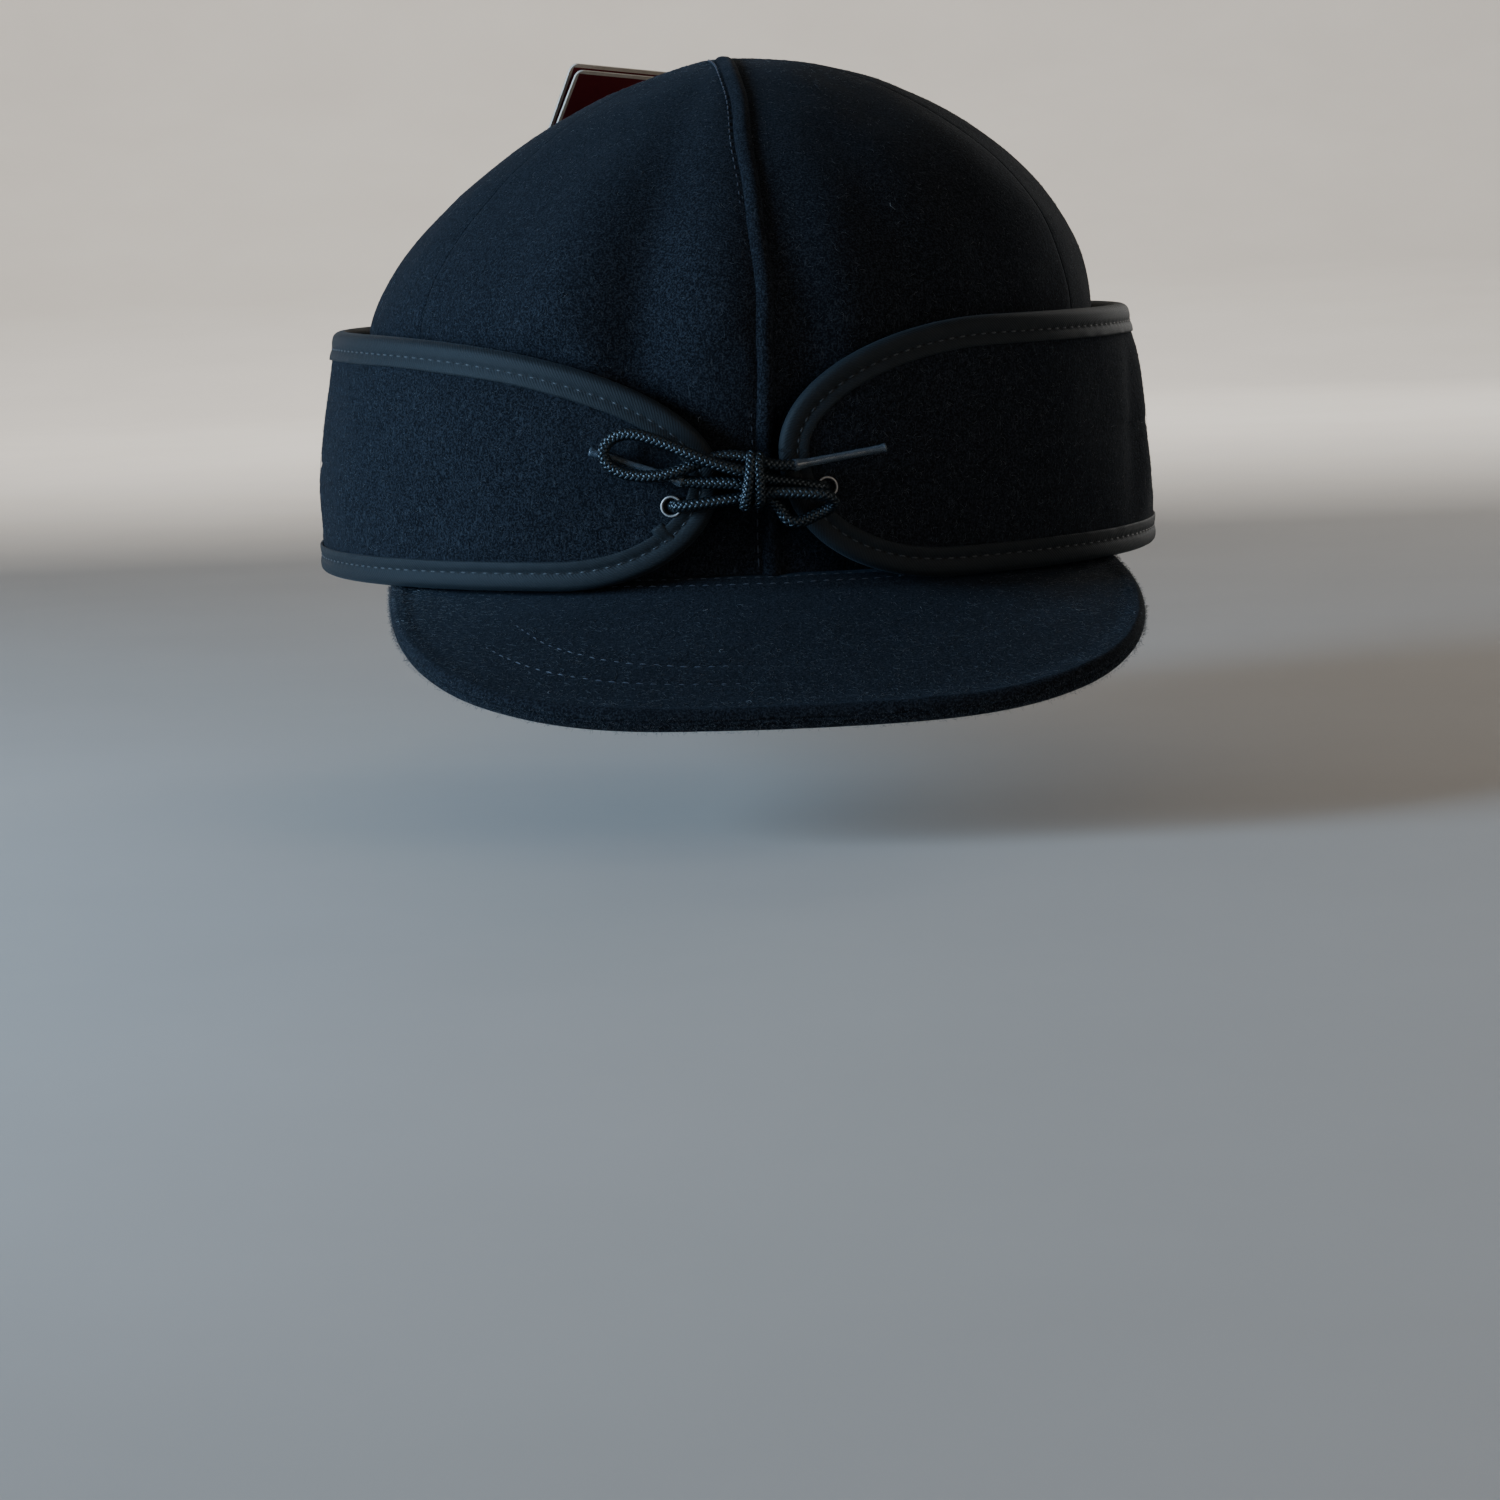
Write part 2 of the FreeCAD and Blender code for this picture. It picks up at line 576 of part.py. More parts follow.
def main():
    os.makedirs("parts", exist_ok=True)
    for old in os.listdir("parts"):
        os.remove(os.path.join("parts", old))
    make_crown()
    make_front_welt()
    make_sweatband()
    make_visor()
    for name, flap in FLAPS.items():
        make_flap(name, flap)
        make_eyelet(name)
    make_laces()
    make_rear_band()
    make_gusset()
    make_tag()


main()
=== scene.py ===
"""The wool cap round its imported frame: cloth, stitching, braided lace, eyelets and hang tag.

Shapes are worked out in millimetres in the row's frame and turned into metres as each mesh is made.
A turn is the angle round the head in degrees: 0 at the front (-Y), 90 at +X, 180 at the back.
A loft is a row of closed loops of points, one behind the other, skinned into one closed mesh.
"""
import json
import math
import bpy
import numpy as np
from mathutils import Matrix, Vector, noise


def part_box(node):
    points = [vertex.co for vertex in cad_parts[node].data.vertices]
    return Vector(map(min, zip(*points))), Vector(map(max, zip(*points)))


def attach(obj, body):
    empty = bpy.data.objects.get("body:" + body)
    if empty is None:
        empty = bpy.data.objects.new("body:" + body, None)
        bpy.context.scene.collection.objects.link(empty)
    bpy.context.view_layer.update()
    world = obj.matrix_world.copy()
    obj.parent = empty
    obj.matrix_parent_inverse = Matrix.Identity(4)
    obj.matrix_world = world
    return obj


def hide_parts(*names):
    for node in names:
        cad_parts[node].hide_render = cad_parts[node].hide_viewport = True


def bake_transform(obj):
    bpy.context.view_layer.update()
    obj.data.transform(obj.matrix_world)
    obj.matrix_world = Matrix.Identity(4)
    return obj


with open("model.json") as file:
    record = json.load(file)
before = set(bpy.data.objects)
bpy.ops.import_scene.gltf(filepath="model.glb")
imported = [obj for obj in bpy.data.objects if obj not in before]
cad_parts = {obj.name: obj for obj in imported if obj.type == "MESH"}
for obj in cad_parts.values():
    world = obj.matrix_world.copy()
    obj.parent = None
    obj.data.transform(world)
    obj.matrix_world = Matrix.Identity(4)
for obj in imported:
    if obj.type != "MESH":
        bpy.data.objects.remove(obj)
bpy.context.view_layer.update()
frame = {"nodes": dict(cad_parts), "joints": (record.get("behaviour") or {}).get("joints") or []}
MM = 0.001


# ---------------------------------------------------------------- driving sizes, from the frame

def low(node):
    return np.array(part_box(node)[0]) / MM


def high(node):
    return np.array(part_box(node)[1]) / MM


PANELS = ("front_right", "side_right", "back_right", "back_left", "side_left", "front_left")
PANEL_TURN = 60.0
PANEL_GAP = 0.005
CROWN_HALF_WIDTH = high("crown_panel_side_right")[0]
CROWN_HALF_LENGTH = high("crown_panel_back_left")[1]
CROWN_HEIGHT = high("crown_panel_back_left")[2]
SHOULDER_HEIGHT = 60.0
BASE_TAPER = 0.045
DOME_POWER, DOME_POWER_LEAN = 1.72, 0.22
WALL_SHARE = 0.4
TOP_HOLE = 0.006
WOOL = 2.0

VISOR_HALF_WIDTH = high("visor_top_cover")[0]
VISOR_REACH = -low("visor_top_cover")[1]
VISOR_CORNER_Y, VISOR_POWER, VISOR_END_TURN = 60.0, 3.1, 73.0
VISOR_ROOT_HEIGHT, VISOR_END_HEIGHT, VISOR_EDGE_HEIGHT = 5.0, 2.2, 3.5
VISOR_EDGE_DROP, VISOR_DROP_START, VISOR_DROP_POWER = 22.2, 35.0, 1.8
VISOR_THICK = 4.6
VISOR_COVER = 1.6
VISOR_STITCH, VISOR_STITCH_PITCH = 2.4, 3.0

BAND_HALF_WIDTH = 101.5
BAND_MM_PER_DEG = math.radians(1) * BAND_HALF_WIDTH
BAND_TOP_TAPER, BAND_TAPER_START, BAND_TAPER_RUN = 5.5, 20.0, 40.0
BAND_FRONT, BAND_BACK, BAND_BACK_TAPER = 103.6, 108.5, 2.5
BAND_TOP, BAND_BOTTOM = 60.5, 3.7
BAND_WOOL, BAND_LINING = 1.9, 0.9
BINDING, BINDING_WIDTH, BINDING_BEND = 0.5, 6.2, 0.15
STITCH_PITCH, STITCH_INSET = 3.2, 3.6
# The size of the painted shade spot at each needle pit, along and across the tape.
PIT_SHADE_LENGTH, PIT_SHADE_WIDTH = 0.75, 0.42
# Each eyelet's place across and up.
EYELETS = {"left": (-22.0, 21.9), "right": (12.3, 24.9)}

RIGHT_TIP = {"x": 2.5, "z": 33.0, "bottom": (40.0, 2.2, 3.7), "top": (54.0, 2.0, 60.5)}
LEFT_TIP = {"x": 11.8, "z": 27.7, "bottom": (36.0, 2.0, 3.7), "top": (97.0, 2.0, 60.6)}


# ---------------------------------------------------------------- mesh helpers

def finish_mesh(name, verts, faces, material, uvs=None, smooth=True):
    """A mesh object from points in millimetres. uvs gives one (u, v) to each point."""
    mesh = bpy.data.meshes.new(name)
    mesh.from_pydata((np.asarray(verts, float) * MM).tolist(), [], faces)
    mesh.update()
    if uvs is not None:
        layer = mesh.uv_layers.new(name="UVMap")
        index = np.zeros(len(mesh.loops), int)
        mesh.loops.foreach_get("vertex_index", index)
        layer.data.foreach_set("uv", np.asarray(uvs, float)[index].ravel())
    mesh.polygons.foreach_set("use_smooth", [smooth] * len(mesh.polygons))
    mesh.materials.append(material)
    obj = bpy.data.objects.new(name, mesh)
    bpy.context.scene.collection.objects.link(obj)
    return obj


def grid_faces(rows, columns, first=0, close_rows=False, close_columns=True):
    """Quads between rows of points, each row closed on itself unless told otherwise."""
    faces = []
    for i in range(rows if close_rows else rows - 1):
        a, b = first + i * columns, first + (i + 1) % rows * columns
        for j in range(columns if close_columns else columns - 1):
            k = (j + 1) % columns
            faces.append((a + j, a + k, b + k, b + j))
    return faces


def signed_volume(verts, faces):
    total = 0.0
    for face in faces:
        a, b, c = verts[face[0]], verts[face[1]], verts[face[2]]
        total += np.dot(a, np.cross(b, c))
        if len(face) == 4:
            total += np.dot(a, np.cross(c, verts[face[3]]))
    return total / 6


def facing_out(verts, faces):
    sample = np.asarray(verts, float)
    return [tuple(reversed(f)) for f in faces] if signed_volume(sample, faces) < 0 else faces


def loft_parts(loops, closed=False):
    """The points and faces of closed loops joined in a row, with an end cap at each open end."""
    loops = np.asarray(loops, float)
    rows, columns = loops.shape[:2]
    verts = loops.reshape(-1, 3)
    faces = grid_faces(rows, columns, close_rows=closed)
    if not closed:
        middle = len(verts)
        verts = np.vstack([verts, loops[0].mean(0), loops[-1].mean(0)])
        last = (rows - 1) * columns
        for j in range(columns):
            k = (j + 1) % columns
            faces.append((middle, k, j))
            faces.append((middle + 1, last + j, last + k))
    return verts, facing_out(verts, faces)


def loft(name, loops, material, closed=False, uvs=None):
    verts, faces = loft_parts(loops, closed)
    if uvs is not None:
        uvs = np.asarray(uvs, float).reshape(-1, 2)
        if not closed:
            uvs = np.vstack([uvs, uvs[:1], uvs[-1:]])
    return finish_mesh(name, verts, faces, material, uvs)


def joined(name, parts, material):
    """Several (points, faces) parts as one mesh."""
    verts, faces, first = [], [], 0
    for part_verts, part_faces in parts:
        verts.append(np.asarray(part_verts, float))
        faces += [tuple(first + i for i in f) for f in part_faces]
        first += len(part_verts)
    return finish_mesh(name, np.vstack(verts), faces, material)


def unit(v):
    v = np.asarray(v, float)
    return v / np.maximum(np.linalg.norm(v, axis=-1, keepdims=True), 1e-12)


def frames_along(path):
    """Two unit vectors across a path at each of its points, without twist."""
    path = np.asarray(path, float)
    along = unit(np.gradient(path, axis=0))
    side = unit(np.cross(along[0], [0.31, 0.17, 0.93]))
    sides = []
    for step in along:
        side = unit(side - step * np.dot(side, step))
        sides.append(side)
    sides = np.array(sides)
    return sides, np.cross(along, sides)


def ring(centre, radius, side, up, count, flatten=1.0):
    """A circle of points round a centre, squashed along up if it is flattened."""
    angles = np.linspace(0, 2 * math.pi, count, endpoint=False)
    return centre + np.outer(np.cos(angles) * radius, side) + np.outer(np.sin(angles) * radius * flatten, up)


def tube_parts(path, radius, sides=8, flatten=1.0, normals=None):
    """A tube of round or flattened section along a path."""
    path = np.asarray(path, float)
    across, up = frames_along(path)
    if normals is not None:
        up = unit(normals)
        across = unit(np.cross(up, unit(np.gradient(path, axis=0))))
    return loft_parts([ring(p, radius, a, u, sides, flatten) for p, a, u in zip(path, across, up)])


def bump_noise(points, size, seed=0.0):
    """Smooth noise between -1 and 1 at points in millimetres, with features about that size."""
    flat = np.asarray(points, float).reshape(-1, 3) / size
    values = [noise.noise(Vector((p[0] + seed, p[1] - seed, p[2] + 0.37 * seed))) for p in flat]
    return np.array(values).reshape(np.asarray(points).shape[:-1])


def uneven(points, *layers):
    """Slow unevenness. Each layer is (depth, size, seed)."""
    return sum(depth * bump_noise(points, size, seed) for depth, size, seed in layers)


def bell(distance, width):
    return np.exp(-((distance / width) ** 2))


def length_along(points):
    """The distance travelled at each point of a path."""
    return np.concatenate([[0], np.cumsum(np.linalg.norm(np.diff(points, axis=0), axis=1))])


def at_lengths(lengths, travelled, points):
    """The points at given distances along a path."""
    return np.stack([np.interp(lengths, travelled, points[:, i]) for i in range(points.shape[1])], 1)


def stand_in(piece, nodes, body="crown"):
    """Hide the nodes a piece is drawn for, and hang the piece on the body that carries it."""
    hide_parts(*nodes)
    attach(piece, body)


# ---------------------------------------------------------------- materials

class Shader:
    """A node material under construction: a Principled shader and short ways to feed it."""

    def __init__(self, name, rough=0.8, specular=0.3, **fixed):
        self.material = bpy.data.materials.new(name)
        self.material.use_nodes = True
        self.tree = self.material.node_tree
        self.shader = self.tree.nodes["Principled BSDF"]
        self.set("Roughness", rough)
        self.set("Specular IOR Level", specular)
        for socket, value in fixed.items():
            self.set(socket.replace("_", " "), value)
        coordinates = self.tree.nodes.new("ShaderNodeTexCoord")
        self.place, self.uv = coordinates.outputs["Object"], coordinates.outputs["UV"]

    def set(self, socket, value):
        self.shader.inputs[socket].default_value = value

    def node(self, kind, **settings):
        made = self.tree.nodes.new(kind)
        for key, value in settings.items():
            setattr(made, key, value)
        return made

    def link(self, source, target):
        self.tree.links.new(source, target)

    def stretched(self, source, scale, angle=0.0):
        mapping = self.node("ShaderNodeMapping")
        mapping.inputs["Scale"].default_value = scale
        mapping.inputs["Rotation"].default_value = (0, 0, angle)
        self.link(source, mapping.inputs["Vector"])
        return mapping.outputs["Vector"]

    def noise(self, scale, detail=3.0, rough=0.6, source=None, distortion=0.0):
        made = self.node("ShaderNodeTexNoise")
        settings = {"Scale": scale, "Detail": detail, "Roughness": rough, "Distortion": distortion}
        for socket, value in settings.items():
            made.inputs[socket].default_value = value
        self.link(self.place if source is None else source, made.inputs["Vector"])
        return made.outputs["Fac"]

    def wave(self, scale, source, direction="X", distortion=0.0):
        made = self.node("ShaderNodeTexWave", bands_direction=direction)
        made.inputs["Scale"].default_value = scale
        made.inputs["Distortion"].default_value = distortion
        self.link(source, made.inputs["Vector"])
        return made.outputs["Fac"]

    def math(self, operation, a, b=0.0):
        made = self.node("ShaderNodeMath", operation=operation)
        for socket, value in zip(made.inputs, (a, b)):
            if isinstance(value, (int, float)):
                socket.default_value = value
            else:
                self.link(value, socket)
        return made.outputs[0]

    def ramp(self, source, *stops):
        made = self.node("ShaderNodeValToRGB")
        elements = made.color_ramp.elements
        while len(elements) < len(stops):
            elements.new(0.5)
        for element, (at, colour) in zip(elements, stops):
            element.position = at
            element.color = (*colour, 1.0)
        self.link(source, made.inputs["Fac"])
        return made.outputs["Color"]

    def mix(self, factor, a, b):
        made = self.node("ShaderNodeMix", data_type="RGBA")
        for socket, value in ((made.inputs[0], factor), (made.inputs[6], a), (made.inputs[7], b)):
            if isinstance(value, tuple):
                socket.default_value = (*value, 1.0)
            elif isinstance(value, (int, float)):
                socket.default_value = value
            else:
                self.link(value, socket)
        return made.outputs[2]

    def colour(self, source):
        self.link(source, self.shader.inputs["Base Color"])

    def bump(self, *layers):
        """layers of (height source, depth in metres), the coarsest first."""
        last = None
        for source, depth in layers:
            made = self.node("ShaderNodeBump")
            made.inputs["Distance"].default_value = depth
            made.inputs["Strength"].default_value = 1.0
            self.link(source, made.inputs["Height"])
            if last is not None:
                self.link(last, made.inputs["Normal"])
            last = made.outputs["Normal"]
        self.link(last, self.shader.inputs["Normal"])


def wool_material():
    """Fulled navy-black wool: a matted nap of fine lighter fibres over a dark ground."""
    s = Shader("wool", rough=0.95, specular=0.06, Sheen_Weight=0.035, Sheen_Roughness=0.5,
               Sheen_Tint=(0.42, 0.60, 0.80, 1.0))
    clumps = s.noise(820.0, 3.0, 0.7)
    fibres = s.noise(2300.0, 2.0, 0.6)
    streaks = s.noise(1500.0, 2.0, 0.8, source=s.stretched(s.place, (1.0, 1.0, 0.3), 0.5))
    patches = s.noise(26.0, 2.0, 0.5)
    ground = s.ramp(clumps, (0.36, (0.0038, 0.0044, 0.0060)), (0.66, (0.0120, 0.0146, 0.0195)))
    nap = s.ramp(fibres, (0.44, (0.0025, 0.0029, 0.0040)), (0.62, (0.0315, 0.0385, 0.0500)))
    cloth = s.mix(0.6, ground, nap)
    flecks = s.ramp(streaks, (0.58, (0.0, 0.0, 0.0)), (0.72, (0.55, 0.55, 0.55)))
    flecked = s.mix(flecks, cloth, (0.050, 0.059, 0.070))
    s.colour(s.mix(s.math("MULTIPLY", patches, 0.4), flecked, (0.0056, 0.0068, 0.0092)))
    s.bump((patches, 0.0008), (clumps, 0.00020), (fibres, 0.00012))
    return s.material


def tape_material():
    """Smooth twill bias tape, with painted shade at a needle pit between stitches. UVs run in metres along
    and across it.
    """
    s = Shader("binding_tape", rough=0.66, specular=0.22, Sheen_Weight=0.05, Sheen_Roughness=0.4,
               Sheen_Tint=(0.5, 0.72, 0.9, 1.0))
    ribs = s.wave(520.0, s.stretched(s.uv, (1.0, 1.0, 1.0), math.radians(45)))
    threads = s.wave(1100.0, s.stretched(s.uv, (1.0, 1.0, 1.0), math.radians(-45)))
    wear = s.noise(260.0, 3.0, 0.6)
    lint = s.noise(2600.0, 2.0, 0.7)
    cloth = s.ramp(ribs, (0.2, (0.0066, 0.0096, 0.0124)), (0.8, (0.0100, 0.0142, 0.0178)))
    cloth = s.mix(s.math("MULTIPLY", wear, 0.4), cloth, (0.0115, 0.0158, 0.0194))
    specks = s.ramp(lint, (0.62, (0.0, 0.0, 0.0)), (0.80, (0.45, 0.45, 0.45)))
    cloth = s.mix(specks, cloth, (0.030, 0.037, 0.042))
    # Painted shade: a dark spot at each needle pit on the stitch row, standing in for the shade where the
    # tape puckers.
    parts = s.node("ShaderNodeSeparateXYZ")
    s.link(s.uv, parts.inputs[0])
    phase = s.math("FRACT", s.math("DIVIDE", parts.outputs[0], STITCH_PITCH * MM))
    along = s.math("ABSOLUTE", s.math("SUBTRACT", phase, 0.5))
    across = s.math("ABSOLUTE", s.math("SUBTRACT", parts.outputs[1], (BINDING_WIDTH - STITCH_INSET) * MM))
    along = s.math("MULTIPLY", along, STITCH_PITCH / PIT_SHADE_LENGTH)
    across = s.math("MULTIPLY", across, 1 / (PIT_SHADE_WIDTH * MM))
    pit_shade = s.ramp(s.math("ADD", along, across), (0.35, (1.0, 1.0, 1.0)), (0.95, (0.0, 0.0, 0.0)))
    s.colour(s.mix(pit_shade, cloth, (0.0015, 0.0022, 0.0032)))
    s.bump((wear, 0.00010), (ribs, 0.00004), (threads, 0.00002))
    return s.material


def thread_material(name, dark, light, rough=0.45):
    s = Shader(name, rough=rough, specular=0.5, Sheen_Weight=0.2)
    plies = s.noise(5200.0, 2.0, 0.6)
    s.colour(s.ramp(plies, (0.3, dark), (0.7, light)))
    s.bump((plies, 0.00004))
    return s.material


def lace_material():
    s = Shader("lace_cord", rough=0.36, specular=0.60, Specular_Tint=(0.76, 0.90, 1.0, 1.0))
    filaments = s.noise(6500.0, 2.0, 0.7, distortion=0.5)
    s.colour(s.ramp(filaments, (0.38, (0.0024, 0.0039, 0.0053)), (0.68, (0.0064, 0.0104, 0.0142))))
    s.bump((filaments, 0.00002))
    return s.material


def nickel_material():
    s = Shader("nickel", rough=0.22, specular=0.5, Metallic=1.0)
    scuffs = s.noise(1800.0, 4.0, 0.7)
    s.colour(s.ramp(scuffs, (0.2, (0.36, 0.35, 0.34)), (0.8, (0.62, 0.61, 0.59))))
    s.link(s.math("MULTIPLY_ADD", scuffs, 0.25), s.shader.inputs["Roughness"])
    s.bump((scuffs, 0.00002))
    return s.material


def film_material():
    """Clear film shrunk round the lace's end."""
    s = Shader("clear_film", rough=0.14, specular=0.7, Transmission_Weight=0.55, IOR=1.45)
    ripples = s.noise(900.0, 2.0, 0.5)
    s.colour(s.ramp(ripples, (0.3, (0.09, 0.12, 0.15)), (0.7, (0.15, 0.19, 0.23))))
    s.bump((ripples, 0.00010))
    return s.material


def card_material():
    """Plain coated card, dark red with a cream edge. UVs run in millimetres from the middle of each leaf."""
    s = Shader("tag_card", rough=0.38, specular=0.45, Coat_Weight=0.15, Coat_Roughness=0.3)
    parts = s.node("ShaderNodeSeparateXYZ")
    s.link(s.uv, parts.inputs[0])
    in_x, in_y = (s.math("LESS_THAN", s.math("ABSOLUTE", parts.outputs[i]), TAG_SIZE[i] / 2 - TAG_BORDER)
                  for i in (0, 1))
    grain = s.noise(700.0, 3.0, 0.6)
    red = s.ramp(grain, (0.2, (0.105, 0.0100, 0.0125)), (0.8, (0.140, 0.0150, 0.0180)))
    cream = s.ramp(grain, (0.2, (0.56, 0.50, 0.42)), (0.8, (0.68, 0.62, 0.53)))
    s.colour(s.mix(s.math("MULTIPLY", in_x, in_y), cream, red))
    s.bump((grain, 0.00003))
    return s.material


def satin_material():
    s = Shader("lining_satin", rough=0.36, specular=0.5, Sheen_Weight=0.3, Anisotropic=0.4)
    warp = s.wave(900.0, s.place, "Z", 1.5)
    folds = s.noise(60.0, 2.0, 0.5)
    s.colour(s.ramp(warp, (0.2, (0.0085, 0.0090, 0.0110)), (0.8, (0.0150, 0.0160, 0.0190))))
    s.bump((folds, 0.0012), (warp, 0.00004))
    return s.material


def knit_material(name, dark, light, pitch=620.0):
    """Brushed knit: rows of small loops."""
    s = Shader(name, rough=0.9, specular=0.2, Sheen_Weight=0.4, Sheen_Roughness=0.5)
    rows = s.wave(pitch, s.place, "Z", 2.0)
    loops = s.noise(pitch * 2.4, 3.0, 0.7)
    s.colour(s.mix(0.5, s.ramp(rows, (0.2, dark), (0.8, light)), s.ramp(loops, (0.3, dark), (0.7, light))))
    s.bump((rows, 0.00012), (loops, 0.00018))
    return s.material


def plain_material(name, dark, light, rough, scale=900.0, depth=0.00003):
    s = Shader(name, rough=rough, specular=0.4)
    grain = s.noise(scale, 4.0, 0.6)
    s.colour(s.ramp(grain, (0.2, dark), (0.8, light)))
    s.bump((grain, depth))
    return s.material


# ---------------------------------------------------------------- crown

def crown_point(turn, rise, inset=0.0):
    """Points on the crown, from rise 0 at the lower edge to 1 at the top, that far inside the plain shape."""
    turn, rise, inset = np.broadcast_arrays(*(np.asarray(v, float) for v in (turn, rise, inset)))
    a = np.radians(turn)
    power = DOME_POWER + DOME_POWER_LEAN * np.sin(a)
    angle = np.clip((rise - WALL_SHARE) / (1 - WALL_SHARE), 0, 1) * np.arccos(TOP_HOLE ** (power / 2))
    dome = np.cos(angle) ** (2 / power)
    dome_z = SHOULDER_HEIGHT + (CROWN_HEIGHT - inset - SHOULDER_HEIGHT) * np.sin(angle) ** (2 / power)
    wall = rise / WALL_SHARE
    in_wall = rise < WALL_SHARE
    share = np.where(in_wall, 1 - BASE_TAPER * (1 - np.minimum(wall, 1)) ** 2, dome)
    z = np.where(in_wall, SHOULDER_HEIGHT * wall, dome_z)
    half_width, half_length = CROWN_HALF_WIDTH - inset, CROWN_HALF_LENGTH - inset
    return np.stack([half_width * share * np.sin(a), -half_length * share * np.cos(a), z], -1)


def wall_rise(z):
    """The rise of a place on the crown's wall at that height."""
    return WALL_SHARE * z / SHOULDER_HEIGHT


# Soft folds of the wool: (turn, height, half width in degrees, half height, depth, lean in degrees per mm)
FOLDS = (
    (-31.0, 67.0, 8.0, 27.0, 3.4, 0.05),
    (-18.0, 62.0, 5.2, 30.0, -3.6, 0.05),
    (-6.0, 66.0, 5.5, 34.0, 1.6, 0.0),
    (-58.0, 62.0, 8.0, 16.0, -1.0, 0.1),
    (5.5, 66.0, 4.0, 24.0, -1.0, -0.04),
    (13.0, 64.0, 5.5, 26.0, 1.0, -0.06),
    (24.0, 66.0, 6.0, 24.0, -1.4, -0.08),
    (50.0, 90.0, 9.0, 16.0, 1.2, -0.1),
    (-72.0, 82.0, 10.0, 22.0, 1.0, 0.1),
    (100.0, 76.0, 12.0, 26.0, 1.0, 0.0),
    (150.0, 78.0, 8.0, 30.0, 1.8, 0.05),
    (163.0, 72.0, 5.0, 26.0, -1.8, 0.05),
    (208.0, 84.0, 17.0, 34.0, -2.4, 0.0),
    (250.0, 84.0, 10.0, 22.0, 0.9, 0.0),
)
DEEPEST_FOLD = 3.8
UNDER_BAND_RELIEF, UNDER_BAND_TOP, FREE_SLOPE = 1.3, 56.0, 0.3
THINNEST_WOOL = 0.9
SEAM_TURNS = (60.0, 120.0, 180.0, 240.0, 300.0)
FLAT_TOP_RADIUS = 25.0


def turn_gap(a, b):
    return (a - b + 180.0) % 360.0 - 180.0


def folded(out, turn, z, folds):
    """Add folds to a relief."""
    for fold_turn, fold_z, half_turn, half_z, depth, lean in folds:
        across = turn_gap(turn, fold_turn + lean * (z - fold_z)) / half_turn
        out = out + depth * np.exp(-(across**2) - ((z - fold_z) / half_z) ** 2)
    return out


def crown_relief(turn, points):
    """How far the wool stands out from the plain shape: folds, seams and slight unevenness."""
    turn, z = np.asarray(turn, float), points[..., 2]
    radius = np.hypot(points[..., 0], points[..., 1])
    out = folded(uneven(points, (0.75, 34.0, 3.1), (0.35, 13.0, 8.7)), turn, z, FOLDS)
    out = out * np.clip(radius / FLAT_TOP_RADIUS, 0, 1) * np.clip((z + 4) / 12.0, 0, 1)
    for seam in SEAM_TURNS:
        away = np.radians(turn_gap(turn, seam)) * radius
        out = out + 0.12 * bell(away, 6.0) - 0.16 * bell(away, 1.1)
    away = np.radians(turn_gap(turn, 0.0)) * radius
    room = UNDER_BAND_RELIEF + FREE_SLOPE * np.maximum(z - UNDER_BAND_TOP, 0)
    return np.clip(out - 0.35 * bell(away, 3.5) + 0.3, -DEEPEST_FOLD, room)


def make_crown(wool):
    eased = 0.5 - 0.5 * np.cos(np.linspace(0, math.pi, 58))
    across = 0.55 * eased + 0.45 * np.linspace(0, 1, 58)
    rises = np.linspace(0.0, 1.0, 92)
    for i, name in enumerate(PANELS):
        loops = []
        for turn in PANEL_TURN * i + PANEL_GAP + (PANEL_TURN - 2 * PANEL_GAP) * across:
            relief = crown_relief(np.full(len(rises), turn), crown_point(turn, rises))
            outer = crown_point(turn, rises, -relief)
            outer[0, 2] += 0.5
            depth = np.maximum(WOOL, THINNEST_WOOL - relief)
            inner = crown_point(turn, rises[::-1][::2], depth[::-1][::2])
            loops.append(np.vstack([outer, inner]))
        panel = loft("crown_wool_" + name, loops, wool)
        stand_in(panel, ["crown_panel_" + name])


WELT_PATH_WAVE = 0.35
WELT_FADE_START = 0.93
# Across the ridge: (sideways, height above the wool) points.
WELT_SECTION = ((-2.3, -0.9), (-2.1, 0.15), (-1.6, 0.75), (-0.9, 1.25), (0.0, 1.5), (0.9, 1.42), (1.6, 1.0),
                (1.95, 0.35), (2.1, -0.9), (0.0, -0.9))
TOPSTITCH_OFFSET, TOPSTITCH_PITCH, TOPSTITCH = -3.0, 3.0, 2.3


def welt_x(rises):
    """The ridge wanders a little from side to side."""
    return WELT_PATH_WAVE * (np.sin(rises * 17.0) + 0.6 * np.sin(rises * 41.0 + 1.0))


def make_welt(wool, thread):
    """The front seam's raised ridge, with one row of topstitching beside it."""
    rises = np.concatenate([np.linspace(0.034, 0.98, 190), [0.995, 1.0]])
    middle = crown_point(0.0, rises)
    relief = crown_relief(np.zeros(len(rises)), middle)
    loops = []
    for rise, lift in zip(rises, relief):
        swell = 1.0 + 0.10 * noise.noise(Vector((rise * 60, 0, 0)))
        shrink = 1.0 - 0.75 * np.clip((rise - WELT_FADE_START) / (1 - WELT_FADE_START), 0, 1) ** 2
        loops.append([
            crown_point(0.0, rise, -((height * swell if height > 0 else height) * shrink + lift))
            + [x * shrink + welt_x(rise), 0, 0]
            for x, height in WELT_SECTION
        ])
    stand_in(loft("front_seam_ridge", loops, wool), ["front_seam_welt"])
    travelled = length_along(middle)
    parts = []
    for start in np.arange(2.0, travelled[-1] - 4, TOPSTITCH_PITCH):
        along = np.interp(np.linspace(start, start + TOPSTITCH, 7), travelled, rises)
        lift = np.interp(along, rises, relief) + np.array([-0.5, 0.12, 0.32, 0.36, 0.32, 0.12, -0.5])
        path = crown_point(0.0, along, -lift) + [TOPSTITCH_OFFSET, 0, 0]
        parts.append(tube_parts(path + np.outer(welt_x(along), [1, 0, 0]), 0.15, 6))
    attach(joined("front_seam_topstitch", parts, thread), "crown")


